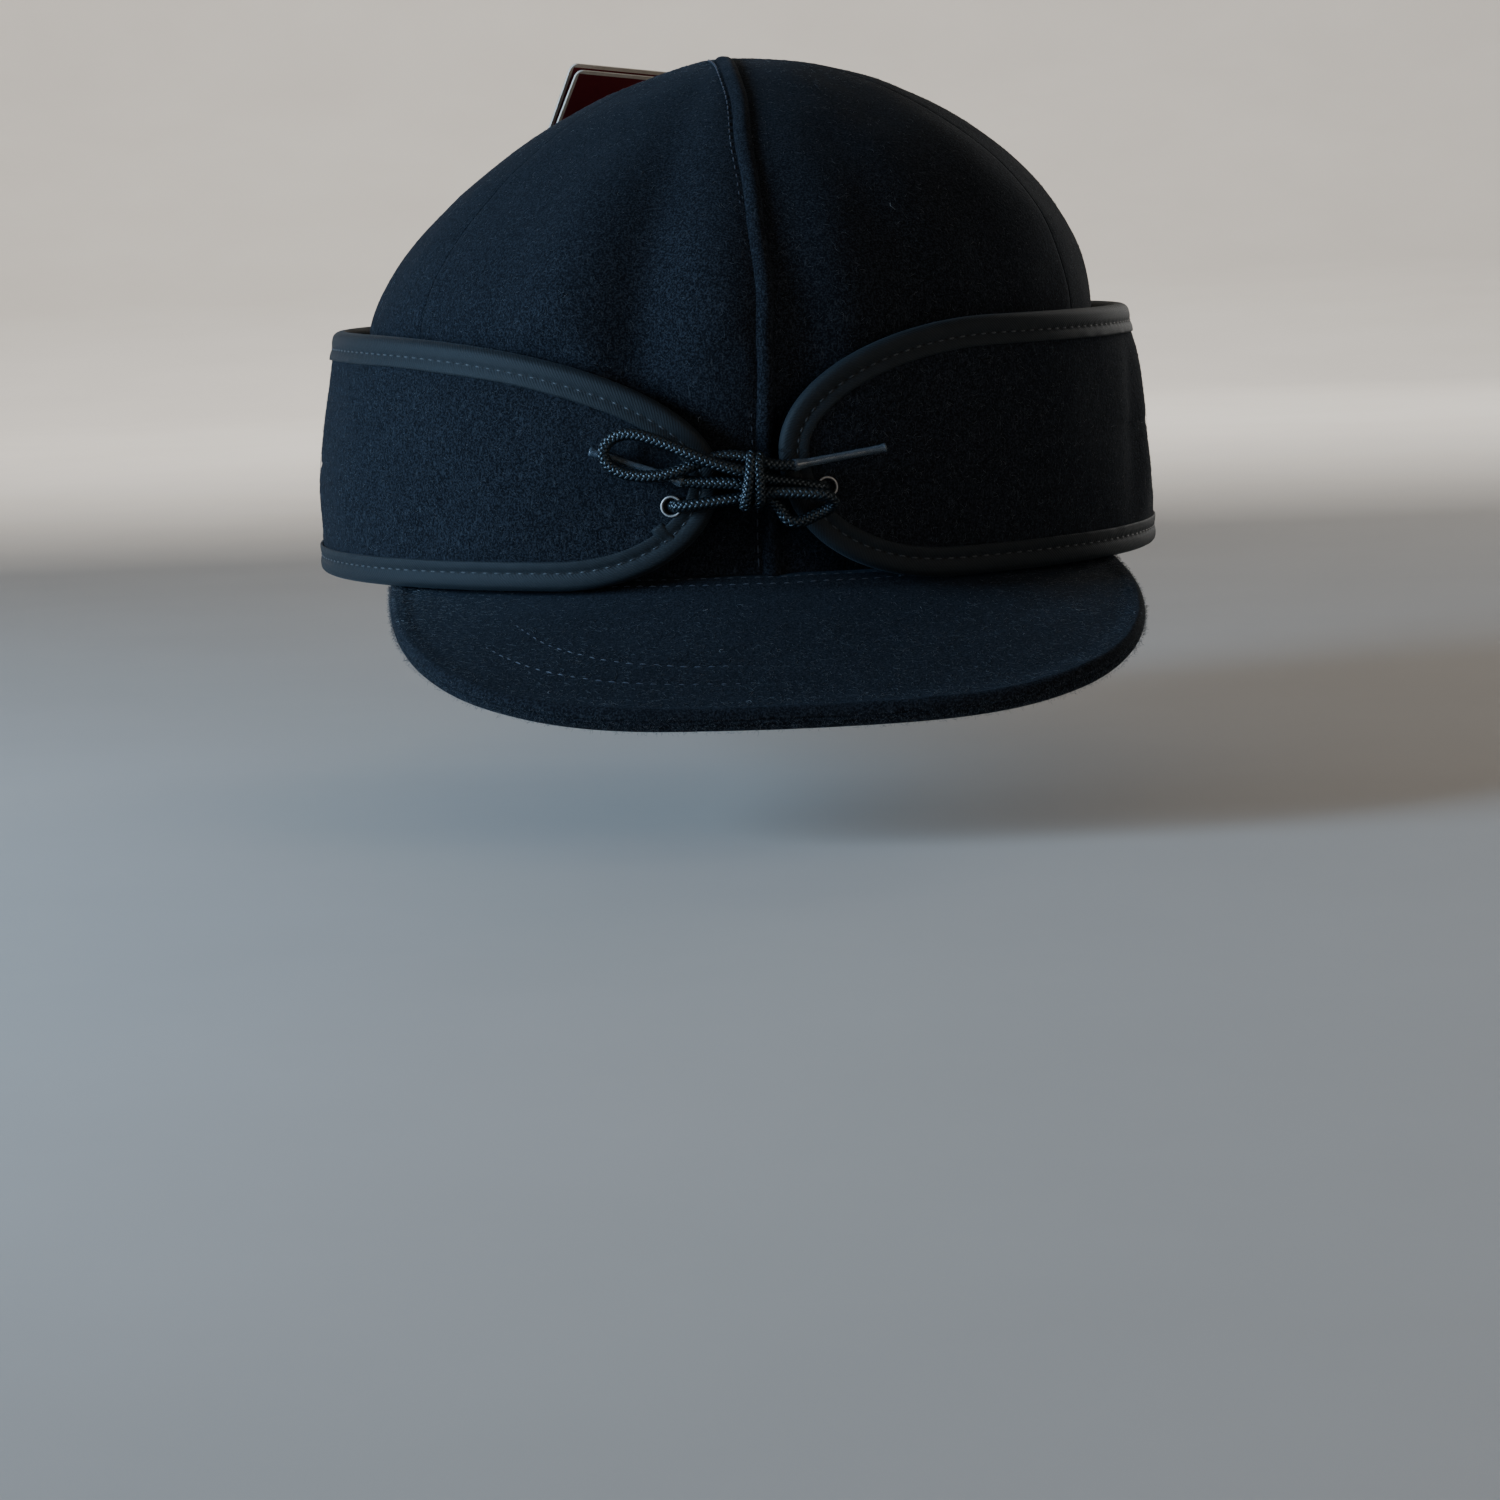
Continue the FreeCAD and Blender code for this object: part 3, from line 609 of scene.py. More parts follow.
# ---------------------------------------------------------------- visor

def visor_root(turn):
    share = (1 - np.cos(np.radians(turn))) / (1 - math.cos(math.radians(VISOR_END_TURN)))
    z = VISOR_ROOT_HEIGHT + (VISOR_END_HEIGHT - VISOR_ROOT_HEIGHT) * share
    return crown_point(turn, wall_rise(z), -0.25)


def visor_rim(turn):
    """The outer edge, on the ray from the crown's axis through the root at that turn."""
    root = visor_root(turn)
    near, far = 1.0, 2.5
    for _ in range(40):
        k = (near + far) / 2
        past = max(-root[1] * k - VISOR_CORNER_Y, 0) / (VISOR_REACH - VISOR_CORNER_Y)
        inside = (abs(root[0] * k) / VISOR_HALF_WIDTH) ** VISOR_POWER + past**VISOR_POWER < 1
        near, far = (k, far) if inside else (near, k)
    drop = max(-root[1] * near - VISOR_DROP_START, 0) / (VISOR_REACH - VISOR_DROP_START)
    z = VISOR_EDGE_HEIGHT - VISOR_EDGE_DROP * drop**VISOR_DROP_POWER
    return np.array([root[0] * near, root[1] * near, z])


def visor_line(turn):
    """A line across the top face: its root, its rim and its length."""
    root, rim = visor_root(turn), visor_rim(turn)
    return root, rim, max(np.linalg.norm(rim - root), 0.5)


# Each row's distance from the rim at the middle, and how fast it leaves the rim towards the sides
# (mm per square degree), as far as the turn where it bends.
ROW_INSETS = ((13.8, 0.0042), (21.4, 0.0100))
ROW_BEND_TURN = 32.0
# Distances from the root of the two rows along it, and the band of cloth they hold.
ROOT_ROWS = (1.3, 4.5)
ROOT_BAND, ROOT_LIFT = 5.8, 0.55
RIM_ROLL = 0.45


def row_distance(turn, inset, spread):
    """How far from the rim a stitch row is: it leaves the rim towards the sides, then runs along it."""
    return inset + spread * np.minimum(np.abs(turn), ROW_BEND_TURN) ** 2


def nap_cover(turn):
    """0 where the rows are plain to see, to 1 at the sides, where the nap has closed over them."""
    return np.clip(np.maximum((turn + 6.0) / 9.0, (-turn - 31.0) / 5.0), 0, 1)


def visor_relief(turn, points, from_rim, from_root, length):
    """How far the top cover stands out: a rolled rim, a raised root band, and grooves along the rows."""
    out = uneven(points, (0.28, 22.0, 5.0), (0.16, 7.0, 2.0))
    out = out + RIM_ROLL * bell(from_rim - 2.6, 2.6)
    groove = 0.30 - 0.26 * nap_cover(turn)
    for inset, spread in ROW_INSETS:
        out = out - groove * bell(from_rim - row_distance(turn, inset, spread), 0.8)
    out = out + ROOT_LIFT * np.clip((ROOT_BAND + 0.6 - from_root) / 1.2, 0, 1)
    for inset in ROOT_ROWS:
        out = out - 0.34 * bell(from_root - inset, 0.6)
    return out * np.clip(length / 12.0, 0, 1)


def visor_half(name, top, wool):
    """The top or the under cover: one face, half of the rolled rim, and the hidden inner face."""
    edge_r = VISOR_THICK / 2
    sign = 1.0 if top else -1.0
    angles = np.linspace(0.2, 0.5 * math.pi, 8)
    loops = []
    for turn in np.linspace(-VISOR_END_TURN, VISOR_END_TURN, 150):
        root, rim, length = visor_line(turn)
        out = unit(rim - root)
        flat = max(length - edge_r, 0.2)
        steps = np.linspace(0, 1, 46) ** 0.9 * flat
        face = root + np.outer(steps, out)
        if top:
            lift = visor_relief(turn, face, length - steps, steps, length)
        else:
            lift = uneven(face, (0.2, 20.0, 9.0))
        face = face + np.outer(sign * (edge_r + lift) - edge_r, [0, 0, 1])
        level = unit(np.array([out[0], out[1], 0.0]))
        roll = root + out * flat - [0, 0, edge_r] + np.outer(np.sin(angles) * edge_r * 1.06, level)
        roll = roll + np.outer(sign * (np.cos(angles) * (edge_r + lift[-1]) + 0.05), [0, 0, 1])
        inner = root + np.outer(steps[::-1][::3], out) + [0, 0, sign * (edge_r - VISOR_COVER) - edge_r]
        loops.append(np.vstack([face, roll, inner]))
    stand_in(loft(name + "_wool", loops, wool), [name])


def visor_stitch_row(inset, spread=None):
    """Sunk stitches on the top face. With a spread the row leaves the rim; without, it follows the root."""
    from_rim = spread is not None
    last_turn = 58.0 if from_rim else 56.0
    line = []
    for turn in np.linspace(-last_turn, last_turn, 260):
        root, rim, reach = visor_line(turn)
        from_root = reach - row_distance(turn, inset, spread) if from_rim else inset
        if 2.0 < from_root or not from_rim:
            spot = root + (rim - root) * min(from_root / reach, 0.98)
            lift = visor_relief(turn, spot[None], reach - from_root, from_root, reach)[0]
            line.append(spot + [0, 0, lift + (0.15 - 0.45 * nap_cover(turn) if from_rim else 0.30)])
    line = np.array(line)
    travelled = length_along(line)
    stitches = []
    for start in np.arange(1.0, travelled[-1] - VISOR_STITCH, VISOR_STITCH_PITCH):
        path = at_lengths(np.linspace(start, start + VISOR_STITCH, 6), travelled, line)
        path[:, 2] += np.array([-0.75, -0.22, -0.08, -0.08, -0.22, -0.75])
        stitches.append(tube_parts(path, 0.17, 6))
    return stitches


def make_visor(wool, thread):
    visor_half("visor_top_cover", True, wool)
    visor_half("visor_under_cover", False, wool)
    rows = [part for row in ROW_INSETS for part in visor_stitch_row(*row)]
    rows += [part for inset in ROOT_ROWS for part in visor_stitch_row(inset)]
    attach(joined("visor_stitching", rows, thread), "crown")


# ---------------------------------------------------------------- earband

def band_point(turn, z, depth=0.0):
    """Points on the earband, that far inside its outer wool face."""
    turn, z, depth = np.broadcast_arrays(*(np.asarray(v, float) for v in (turn, z, depth)))
    taper = (np.maximum(z - BAND_TAPER_START, 0) / BAND_TAPER_RUN) ** 1.5
    a = np.radians(turn)
    half_width = BAND_HALF_WIDTH - BAND_TOP_TAPER * taper
    half_length = np.where(np.cos(a) > 0, BAND_FRONT, BAND_BACK - BAND_BACK_TAPER * taper)
    return np.stack([(half_width - depth) * np.sin(a), -(half_length - depth) * np.cos(a), z], -1)


def tip_turn(tip):
    return math.degrees(math.asin(tip["x"] / BAND_HALF_WIDTH))


RIGHT_TURN, LEFT_TURN = tip_turn(RIGHT_TIP), 360.0 - tip_turn(LEFT_TIP)


def band_edges(turn):
    """The heights of the band's bottom and top edges, at a turn between the right tip and the left."""
    if 90 < turn < 270:
        return BAND_BOTTOM, BAND_TOP
    tip = RIGHT_TIP if turn <= 90 else LEFT_TIP
    x = BAND_HALF_WIDTH * abs(math.sin(math.radians(turn)))
    heights = []
    for run, power, level in (tip["bottom"], tip["top"]):
        left = min(max(1 - (x - tip["x"]) / run, 0.0), 1.0)
        heights.append(tip["z"] + (level - tip["z"]) * (1 - left**power) ** (1 / power))
    return heights


def band_turns(first, count_tip, count_back):
    """Turns from tip to tip, close together at the rounded tips."""
    u = np.linspace(first, 1.0, count_tip) ** 2
    right = RIGHT_TURN + (90.0 - RIGHT_TURN) * u
    left = LEFT_TURN - (LEFT_TURN - 270.0) * u
    return np.concatenate([right, np.linspace(90, 270, count_back)[1:-1], left[::-1]])


# The seam that holds the gusset shows outside as a faint line: (first turn, last turn, height at each)
SEAM_LINES = ((258.0, 317.0, 30.0, 25.5), (47.0, 78.0, 31.5, 33.0))


def seam_line_height(turn):
    for first, last, z0, z1 in SEAM_LINES:
        if first <= turn <= last:
            return z0 + (z1 - z0) * (turn - first) / (last - first)
    return None


# As the crown's folds
BAND_FOLDS = (
    (66.0, 34.0, 2.6, 30.0, -0.9, 0.22),
    (73.0, 34.0, 3.5, 28.0, 0.9, 0.22),
    (325.0, 16.0, 7.0, 10.0, 1.1, 0.3),
    (312.0, 18.0, 4.0, 14.0, -0.8, 0.3),
    (290.0, 30.0, 9.0, 22.0, 0.9, 0.0),
    (40.0, 26.0, 8.0, 20.0, 0.8, 0.1),
    (140.0, 32.0, 12.0, 26.0, 0.9, 0.0),
    (200.0, 30.0, 12.0, 26.0, 0.9, 0.0),
)


def band_relief(turn, points):
    z = points[..., 2]
    out = folded(uneven(points, (0.7, 30.0, 11.0), (0.3, 11.0, 4.0)), turn, z, BAND_FOLDS)
    line = seam_line_height(float(np.mean(turn)))
    return out if line is None else out - 0.4 * bell(z - line, 1.1)


def edge_fade(z, bottom, top):
    """0 at the band's edges, where the binding grips it, to 1 in the middle."""
    nearest = np.minimum(z - bottom, top - z)
    return np.clip((nearest - 4.0) / 6.0, 0, 1)


def blend_band(piece):
    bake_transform(piece)


def make_band(wool, lining):
    """The band's two layers. Only the outer one has folds."""
    turns = band_turns(0.1, 60, 150)
    layers = (
        ("earband_wool", 0.0, BAND_WOOL, wool, "wool",
         ("band_front_left", "band_front_right", "band_rear")),
        ("earband_inner_cloth", BAND_WOOL + 0.02, BAND_WOOL + BAND_LINING, lining, "ear_lining",
         ("band_front_lining_left", "band_front_lining_right", "band_rear_lining")),
    )
    for name, outer_depth, inner_depth, material, slot, nodes in layers:
        loops = []
        for turn in turns:
            bottom, top = band_edges(turn)
            back = min(1.1, 0.3 * (top - bottom))
            z = np.linspace(bottom + back, top - back, 44)
            plain = band_point(turn, z)
            fade = edge_fade(z, bottom, top)
            relief = band_relief(np.full(len(z), turn), plain) * fade
            outer = band_point(turn, z, outer_depth - (relief if outer_depth == 0 else 0))
            inner = band_point(turn, z[::-1], inner_depth)
            loops.append(np.vstack([outer, inner]))
        cloth = loft(name, loops, material)
        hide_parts(*nodes)
        blend_band(cloth)


def outline_path(spacing):
    """The band's whole edge as a closed path of (turn, height) points, evenly spaced, and its length."""
    turns = band_turns(0.0, 140, 240)
    edges = np.array([band_edges(t) for t in turns])
    bottom = np.stack([turns, edges[:, 0]], 1)
    top = np.stack([turns, edges[:, 1]], 1)[::-1]
    closed = np.vstack([bottom, top[1:-1], bottom[:1]])
    steps = np.hypot(np.diff(closed[:, 0]) * BAND_MM_PER_DEG, np.diff(closed[:, 1]))
    travelled = np.concatenate([[0], np.cumsum(steps)])
    at = np.linspace(0, travelled[-1], int(travelled[-1] / spacing), endpoint=False)
    return at_lengths(at, travelled, closed), travelled[-1]


def inward(path, closed=True):
    """At each point of the outline, the (turn, height) step of one millimetre into the band."""
    before, after = np.roll(path, 1, 0), np.roll(path, -1, 0)
    if not closed:
        before[0], after[-1] = path[0], path[-1]
    along = unit((after - before) * [BAND_MM_PER_DEG, 1.0])
    return np.stack([-along[:, 1] / BAND_MM_PER_DEG, along[:, 0]], 1)


def fold_section(swell, flat_count=12, round_count=9):
    """(inward in mm, depth) points of the folded tape, from its outer hem round the edge to its inner hem."""
    half = (BAND_WOOL + BAND_LINING) / 2
    reach = half + 0.05 + swell
    bend = BINDING_BEND * BINDING_WIDTH
    flat = np.linspace(BINDING_WIDTH, 1.6, flat_count)
    line = [(k, -reach) for k in flat]
    for angle in np.radians(np.linspace(-90, 90, round_count)):
        line.append((bend - (bend + swell) * math.cos(angle), reach * math.sin(angle)))
    line += [(k, reach) for k in flat[::-1]]
    return np.array([(k, half + depth) for k, depth in line])


def tape_loops(path, travelled_step, extra=0.0, closed=True, wider=0.0):
    """The tape's section at each point of a path, puckered between its stitches, and its UVs.

    A tape that isn't closed is a lap, that much thicker and wider, and eased down at its ends.
    """
    steps = inward(path, closed)
    last = len(path) - 1
    outer, inner = fold_section(BINDING + extra), fold_section(extra, 3, 5)[::-1]
    v = np.concatenate([length_along(outer), length_along(inner)[::-1]])
    loops, uvs = [], []
    for i, ((turn, z), step) in enumerate(zip(path, steps)):
        here = i * travelled_step
        k, depth = outer[:, 0], outer[:, 1].copy()
        side = np.where(depth < (BAND_WOOL + BAND_LINING) / 2, -1.0, 1.0)
        pucker = 0.75 - 0.25 * math.cos(2 * math.pi * here / STITCH_PITCH)
        pull = 0.40 * bell(k - STITCH_INSET, 0.6) * pucker
        hem = 0.22 * bell(k - BINDING_WIDTH, 0.9) * noise.noise(Vector((here * 0.22, 0, 4.0)))
        puff = 0.10 * bell(k - 5.4, 0.8) + 0.1 * bell(k - 1.8, 0.9)
        sunk = 0.0 if closed else (extra + 0.12) * (1 - min(i / LAP_EASE, (last - i) / LAP_EASE, 1.0))
        if not closed:
            sunk = np.maximum(sunk, (extra + 0.12) * np.clip(STITCH_INSET - k, 0, 1))
            k = np.maximum(k, 0.1 - BINDING)
        depth = depth + side * (-pull + puff + hem - sunk)
        wander = 0.25 * noise.noise(Vector((here * 0.05, 2.0, 0)))
        k = k + (wander + wider) * (k / BINDING_WIDTH) ** 2
        out_loop = band_point(turn + step[0] * k, z + step[1] * k, depth)
        in_loop = band_point(turn + step[0] * inner[:, 0], z + step[1] * inner[:, 0], inner[:, 1])
        loops.append(np.vstack([out_loop, in_loop]))
        uvs.append(np.stack([np.full(len(v), here), v], 1) * MM)
    return loops, uvs


def make_binding(tape, thread):
    path, length = outline_path(0.8)
    step = STITCH_PITCH * int(length / STITCH_PITCH) / len(path)
    loops, uvs = tape_loops(path, step)
    binding = loft("earband_binding", loops, tape, closed=True, uvs=uvs)
    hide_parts("band_binding_front_left", "band_binding_front_right",
                "band_binding_rear_top", "band_binding_rear_bottom")
    blend_band(binding)
    lap = lap_joint(path, step, tape)
    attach(lap, "crown")
    make_band_stitches(path, length, thread)


LAP_FROM_TIP = 4.4
LAP_LENGTH, LAP_LIFT, LAP_STANDS_IN, LAP_EASE = 4.0, 0.24, 1.2, 1


def lap_joint(path, step, tape):
    """Where the tape's end laps over its start, below the left tip."""
    turns, heights = path[:, 0], path[:, 1]
    below_tip = heights <= LEFT_TIP["z"] - 4
    near = np.argmin(np.abs(turns - (LEFT_TURN - LAP_FROM_TIP)) + 100 * ~below_tip)
    count = int(LAP_LENGTH / step)
    loops, uvs = tape_loops(path[near - count: near + 1], step, LAP_LIFT, closed=False, wider=LAP_STANDS_IN)
    return loft("binding_lap", loops, tape, uvs=uvs)


def make_band_stitches(path, length, thread):
    """One row of stitches through the tape, seen on both faces of the band."""
    count = int(length / STITCH_PITCH)
    pitch = length / count
    steps = inward(path)
    step_length = length / len(path)
    stack = BAND_WOOL + BAND_LINING
    parts = []
    for face_depth, out in ((-BINDING - 0.05, -1.0), (stack + BINDING + 0.05, 1.0)):
        for i in range(count):
            at = (i * pitch + np.linspace(-1.12, 1.12, 7)) / step_length
            low_index = np.floor(at).astype(int)
            blend = (at - low_index)[:, None]
            low_index, next_index = low_index % len(path), (low_index + 1) % len(path)
            centre = path[low_index] * (1 - blend) + path[next_index] * blend
            inside = steps[low_index] * (1 - blend) + steps[next_index] * blend
            spot = centre + inside * STITCH_INSET
            lift = np.array([-0.80, -0.44, -0.22, -0.16, -0.22, -0.44, -0.80])
            points = band_point(spot[:, 0], spot[:, 1], face_depth + out * lift)
            parts.append(tube_parts(points, 0.16, 6))
    stitches = joined("binding_stitching", parts, thread)
    blend_band(stitches)


def make_seam_line(thread):
    """Short runs of the gusset seam's thread that show on the wool."""
    parts = []
    for first, last, z0, z1 in SEAM_LINES:
        length = math.radians(last - first) * BAND_HALF_WIDTH
        for start in np.arange(0, length - 3, 3.4):
            share = (start + np.linspace(0, 2.6, 6)) / length
            turns = first + (last - first) * share
            z = z0 + (z1 - z0) * share
            plain = band_point(turns, z)
            relief = band_relief(turns, plain) - 0.02
            lift = relief + np.array([-0.8, -0.32, -0.2, -0.2, -0.32, -0.8])
            parts.append(tube_parts(band_point(turns, z, -lift), 0.17, 5))
    seam = joined("gusset_seam_thread", parts, thread)
    blend_band(seam)


GUSSET_TURNS, GUSSET_BASE, GUSSET_TOP = (72.0, 288.0), 1.2, 28.0
GUSSET_SAG, GUSSET_THICK = -3.0, 0.9


def make_gusset(material):
    """The soft inner ring from the crown's lower edge up to the middle of the band."""
    share = np.linspace(0, 1, 16)
    loops = []
    for turn in np.linspace(*GUSSET_TURNS, 124):
        base = crown_point(turn, wall_rise(GUSSET_BASE), -1.3)
        top = band_point(turn, GUSSET_TOP, BAND_WOOL + BAND_LINING + 0.5)
        sag = np.outer(np.sin(share * math.pi), [0, 0, GUSSET_SAG + 0.7 * math.sin(turn * 0.9)])
        line = base + np.outer(share, top - base) + sag
        out = unit(np.array([base[0], base[1], 0.0]))
        normal = unit(np.array([out[0] * -0.9, out[1] * -0.9, 0.4]))
        loops.append(np.vstack([line, (line + normal * GUSSET_THICK)[::-1]]))
    gusset = loft("gusset_cloth", loops, material)
    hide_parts("band_gusset")
    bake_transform(gusset)


# ---------------------------------------------------------------- loose fibres of the nap

FIBRE_STATIONS, FIBRE_SIDES = 4, 3
CROWN_FIBRES, VISOR_FIBRES, BAND_FIBRES, RIM_FIBRES = 9500, 6500, 8500, 4200
CROWN_LINT, VISOR_LINT = 14, 12
LYING = {"lengths": (0.7, 2.0), "radius": 0.032, "lift": 0.16}
STANDING = {"lengths": (0.5, 1.6), "radius": 0.028, "lift": 0.1, "stand": 0.5}
LINT = {"lengths": (0.8, 2.6), "radius": 0.05, "lift": 0.25, "curl": 1.6}


def fibres(name, spots, normals, material, seed, lengths, radius, lift, stand=0.0, curl=0.7):
    """A fine bent fibre at each spot, lying along the cloth or, with more stand, out from it."""
    rng = np.random.default_rng(seed)
    count = len(spots)
    normals = unit(normals)
    lying = unit(np.cross(normals, rng.normal(size=(count, 3))))
    along = unit(lying * (1 - stand) + normals * stand)
    side = unit(np.cross(normals + 0.01 * lying, along))
    length = rng.uniform(*lengths, (count, 1, 1))
    bend = rng.uniform(-curl, curl, (count, 1, 1))
    height = rng.uniform(0.3, 1.0, (count, 1, 1)) * lift
    t = np.linspace(-0.5, 0.5, FIBRE_STATIONS)[None, :, None]
    shift = 0.5 * stand
    centre = (spots[:, None] + along[:, None] * (t + shift) * length
              + side[:, None] * bend * length * t**2 * 2
              + normals[:, None] * (height * (1 - 4 * t**2) - 0.04))
    thick = radius * (1 - 1.2 * np.abs(t))[..., None]
    angles = np.linspace(0, 2 * math.pi, FIBRE_SIDES, endpoint=False)[None, None, :, None]
    around = np.cos(angles) * side[:, None, None] + np.sin(angles) * np.cross(along, side)[:, None, None]
    verts = (centre[:, :, None] + around * thick).reshape(-1, 3)
    strand = grid_faces(FIBRE_STATIONS, FIBRE_SIDES)
    last = (FIBRE_STATIONS - 1) * FIBRE_SIDES
    strand += [(2, 1, 0), (last, last + 1, last + 2)]
    first = np.arange(count) * FIBRE_STATIONS * FIBRE_SIDES
    faces = [tuple(start + i for i in face) for start in first.tolist() for face in strand]
    return finish_mesh(name, verts, faces, material)


def crown_spots(rng, count):
    """Places on the crown's wool and the way out of it, evenly spread."""
    turn = rng.uniform(0, 360, count)
    rise = 0.06 + 0.93 * rng.uniform(0, 1, count) ** 1.15
    plain = crown_point(turn, rise)
    relief = crown_relief(turn, plain)
    step = crown_point(turn + 0.3, rise) - crown_point(turn - 0.3, rise)
    climb = crown_point(turn, np.minimum(rise + 0.004, 1)) - crown_point(turn, rise - 0.004)
    return crown_point(turn, rise, -relief), np.cross(step, climb)


def visor_spots(rng, count, at_rim=False):
    """Places on the visor's top cover, or on its rim, and the way out of it."""
    turns = np.linspace(-66.0, 66.0, 200)
    lines = [visor_line(turn) for turn in turns]
    roots, rims = (np.array([line[i] for line in lines]) for i in (0, 1))
    at = rng.uniform(0, len(turns) - 2, count)
    index, part = at.astype(int), (at % 1)[:, None]
    root = roots[index] * (1 - part) + roots[index + 1] * part
    rim = rims[index] * (1 - part) + rims[index + 1] * part
    length = np.linalg.norm(rim - root, axis=1)
    if at_rim:
        out = unit((rim - root) * [1, 1, 0.3])
        up_or_down = np.outer(rng.uniform(-1.6, 1.6, count), [0, 0, 1])
        return rim - [0, 0, VISOR_THICK / 2] + out * 0.1 + up_or_down, out
    share = np.sqrt(rng.uniform(0.02, 0.97, count))
    spots = root + (rim - root) * share[:, None]
    turn = turns[index] * (1 - part[:, 0]) + turns[index + 1] * part[:, 0]
    lift = visor_relief(turn, spots, length * (1 - share), length * share, length)
    normals = np.cross(rims[index + 1] - rims[index], rim - root) * -1
    normals *= np.sign(normals[:, 2:3])
    return spots + np.outer(lift, [0, 0, 1]), normals


def band_spots(rng, count):
    """Places on the band's outer wool, clear of its tape, and the way out of it."""
    turn = rng.uniform(RIGHT_TURN + 6, LEFT_TURN - 6, count)
    edges = np.array([band_edges(t) for t in turn])
    bottom, top = edges[:, 0] + BINDING_WIDTH + 1, edges[:, 1] - BINDING_WIDTH - 1
    z = bottom + (top - bottom) * rng.uniform(0, 1, count)
    plain = band_point(turn, z)
    relief = band_relief(turn, plain) * edge_fade(z, edges[:, 0], edges[:, 1])
    step = band_point(turn + 0.3, z) - band_point(turn - 0.3, z)
    return band_point(turn, z, -relief), np.cross(step, [0, 0, 1.0])


def make_fuzz(nap, lint):
    """The nap's loose fibres, and a few pale bits of lint."""
    rng = np.random.default_rng(7)
    crown = fibres("crown_nap", *crown_spots(rng, CROWN_FIBRES), nap, 11, **LYING)
    visor = fibres("visor_nap", *visor_spots(rng, VISOR_FIBRES), nap, 12, **LYING)
    band = fibres("earband_nap", *band_spots(rng, BAND_FIBRES), nap, 13, **LYING)
    blend_band(band)
    rim = fibres("visor_rim_nap", *visor_spots(rng, RIM_FIBRES, at_rim=True), nap, 14, **STANDING)
    crown_bits = fibres("crown_lint", *crown_spots(rng, CROWN_LINT), lint, 15, **LINT)
    visor_bits = fibres("visor_lint", *visor_spots(rng, VISOR_LINT), lint, 15, **LINT)
    for piece in (crown, visor, rim, crown_bits, visor_bits):
        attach(piece, "crown")


# ---------------------------------------------------------------- lace

LACE_D, LACE_PATH_STEP = 2.6, 0.8
# The routes outside the knot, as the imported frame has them, joined through it.
LACE_ROUTES = {
    "left": [
        (-21.6, -97.2, 21.9), (-22.0, -102.8, 21.9), (-18.8, -105.6, 22.2), (-12.5, -106.6, 22.9),
        (-6.0, -107.0, 23.5),
        (-1.0, -108.6, 24.6), (3.6, -109.8, 24.4), (8.2, -110.2, 24.0), (11.9, -109.9, 23.5),
        (13.7, -108.0, 21.9), (12.2, -106.1, 20.2), (8.9, -106.3, 18.9), (5.8, -107.2, 17.6),
        (2.7, -107.4, 18.2), (1.6, -106.4, 21.0), (-1.6, -106.6, 23.9),
        (-6.0, -107.4, 26.5), (-11.2, -106.4, 27.0), (-15.6, -105.4, 27.1), (-19.9, -104.6, 27.6),
    ],
    "right": [
        (12.3, -98.6, 24.9), (12.0, -104.2, 24.9), (9.2, -106.1, 25.3), (4.6, -106.4, 26.4),
        (-1.0, -106.9, 27.2),
        (-5.6, -109.4, 29.2), (-11.8, -109.3, 30.9), (-18.2, -108.2, 33.7), (-25.0, -106.2, 36.9),
        (-31.4, -104.0, 38.8), (-36.0, -102.3, 36.9), (-37.0, -101.9, 33.0), (-33.6, -103.0, 29.8),
        (-27.4, -105.0, 28.7), (-21.2, -106.2, 29.5), (-15.2, -105.8, 31.9), (-9.6, -106.4, 33.0),
        (-5.0, -107.2, 32.2),
        (-2.2, -108.0, 31.0), (1.2, -107.8, 30.3), (5.2, -107.0, 30.2),
    ],
}
AGLET_TIPS = {"left": (-39.4, -98.6, 34.6), "right": (25.6, -103.2, 33.0)}
# The strand that binds the bow goes round the others about this line.
KNOT_Y, KNOT_Z = -107.6, 27.3
KNOT_HALF_DEPTH, KNOT_HALF_HEIGHT = 2.9, 5.6
KNOT_FIRST_X, KNOT_RUN = -6.4, 4.4
KNOT_LACE_D, STOP_LACE_D = 2.4, 1.5


def spline_points(name, route):
    """The smooth line of a NURBS spline whose control points are the route's."""
    curve = bpy.data.curves.new(name, "CURVE")
    curve.dimensions = "3D"
    spline = curve.splines.new("NURBS")
    spline.points.add(len(route) - 1)
    for point, place in zip(spline.points, route):
        point.co = (*(v * MM for v in place), 1.0)
    spline.order_u = 3
    spline.use_endpoint_u = True
    curve.resolution_u = 24
    carrier = bpy.data.objects.new(name, curve)
    bpy.context.scene.collection.objects.link(carrier)
    bpy.context.view_layer.update()
    mesh = bpy.data.meshes.new_from_object(carrier)
    points = np.array([v.co for v in mesh.vertices], float) / MM
    bpy.data.objects.remove(carrier)
    bpy.data.meshes.remove(mesh)
    return points


def even_steps(points, step):
    travelled = length_along(points)
    at = np.linspace(0, travelled[-1], int(travelled[-1] / step) + 1)
    return at_lengths(at, travelled, points), travelled[-1]


BRAID_PITCH = 4.8
BRAID_STRANDS = 8


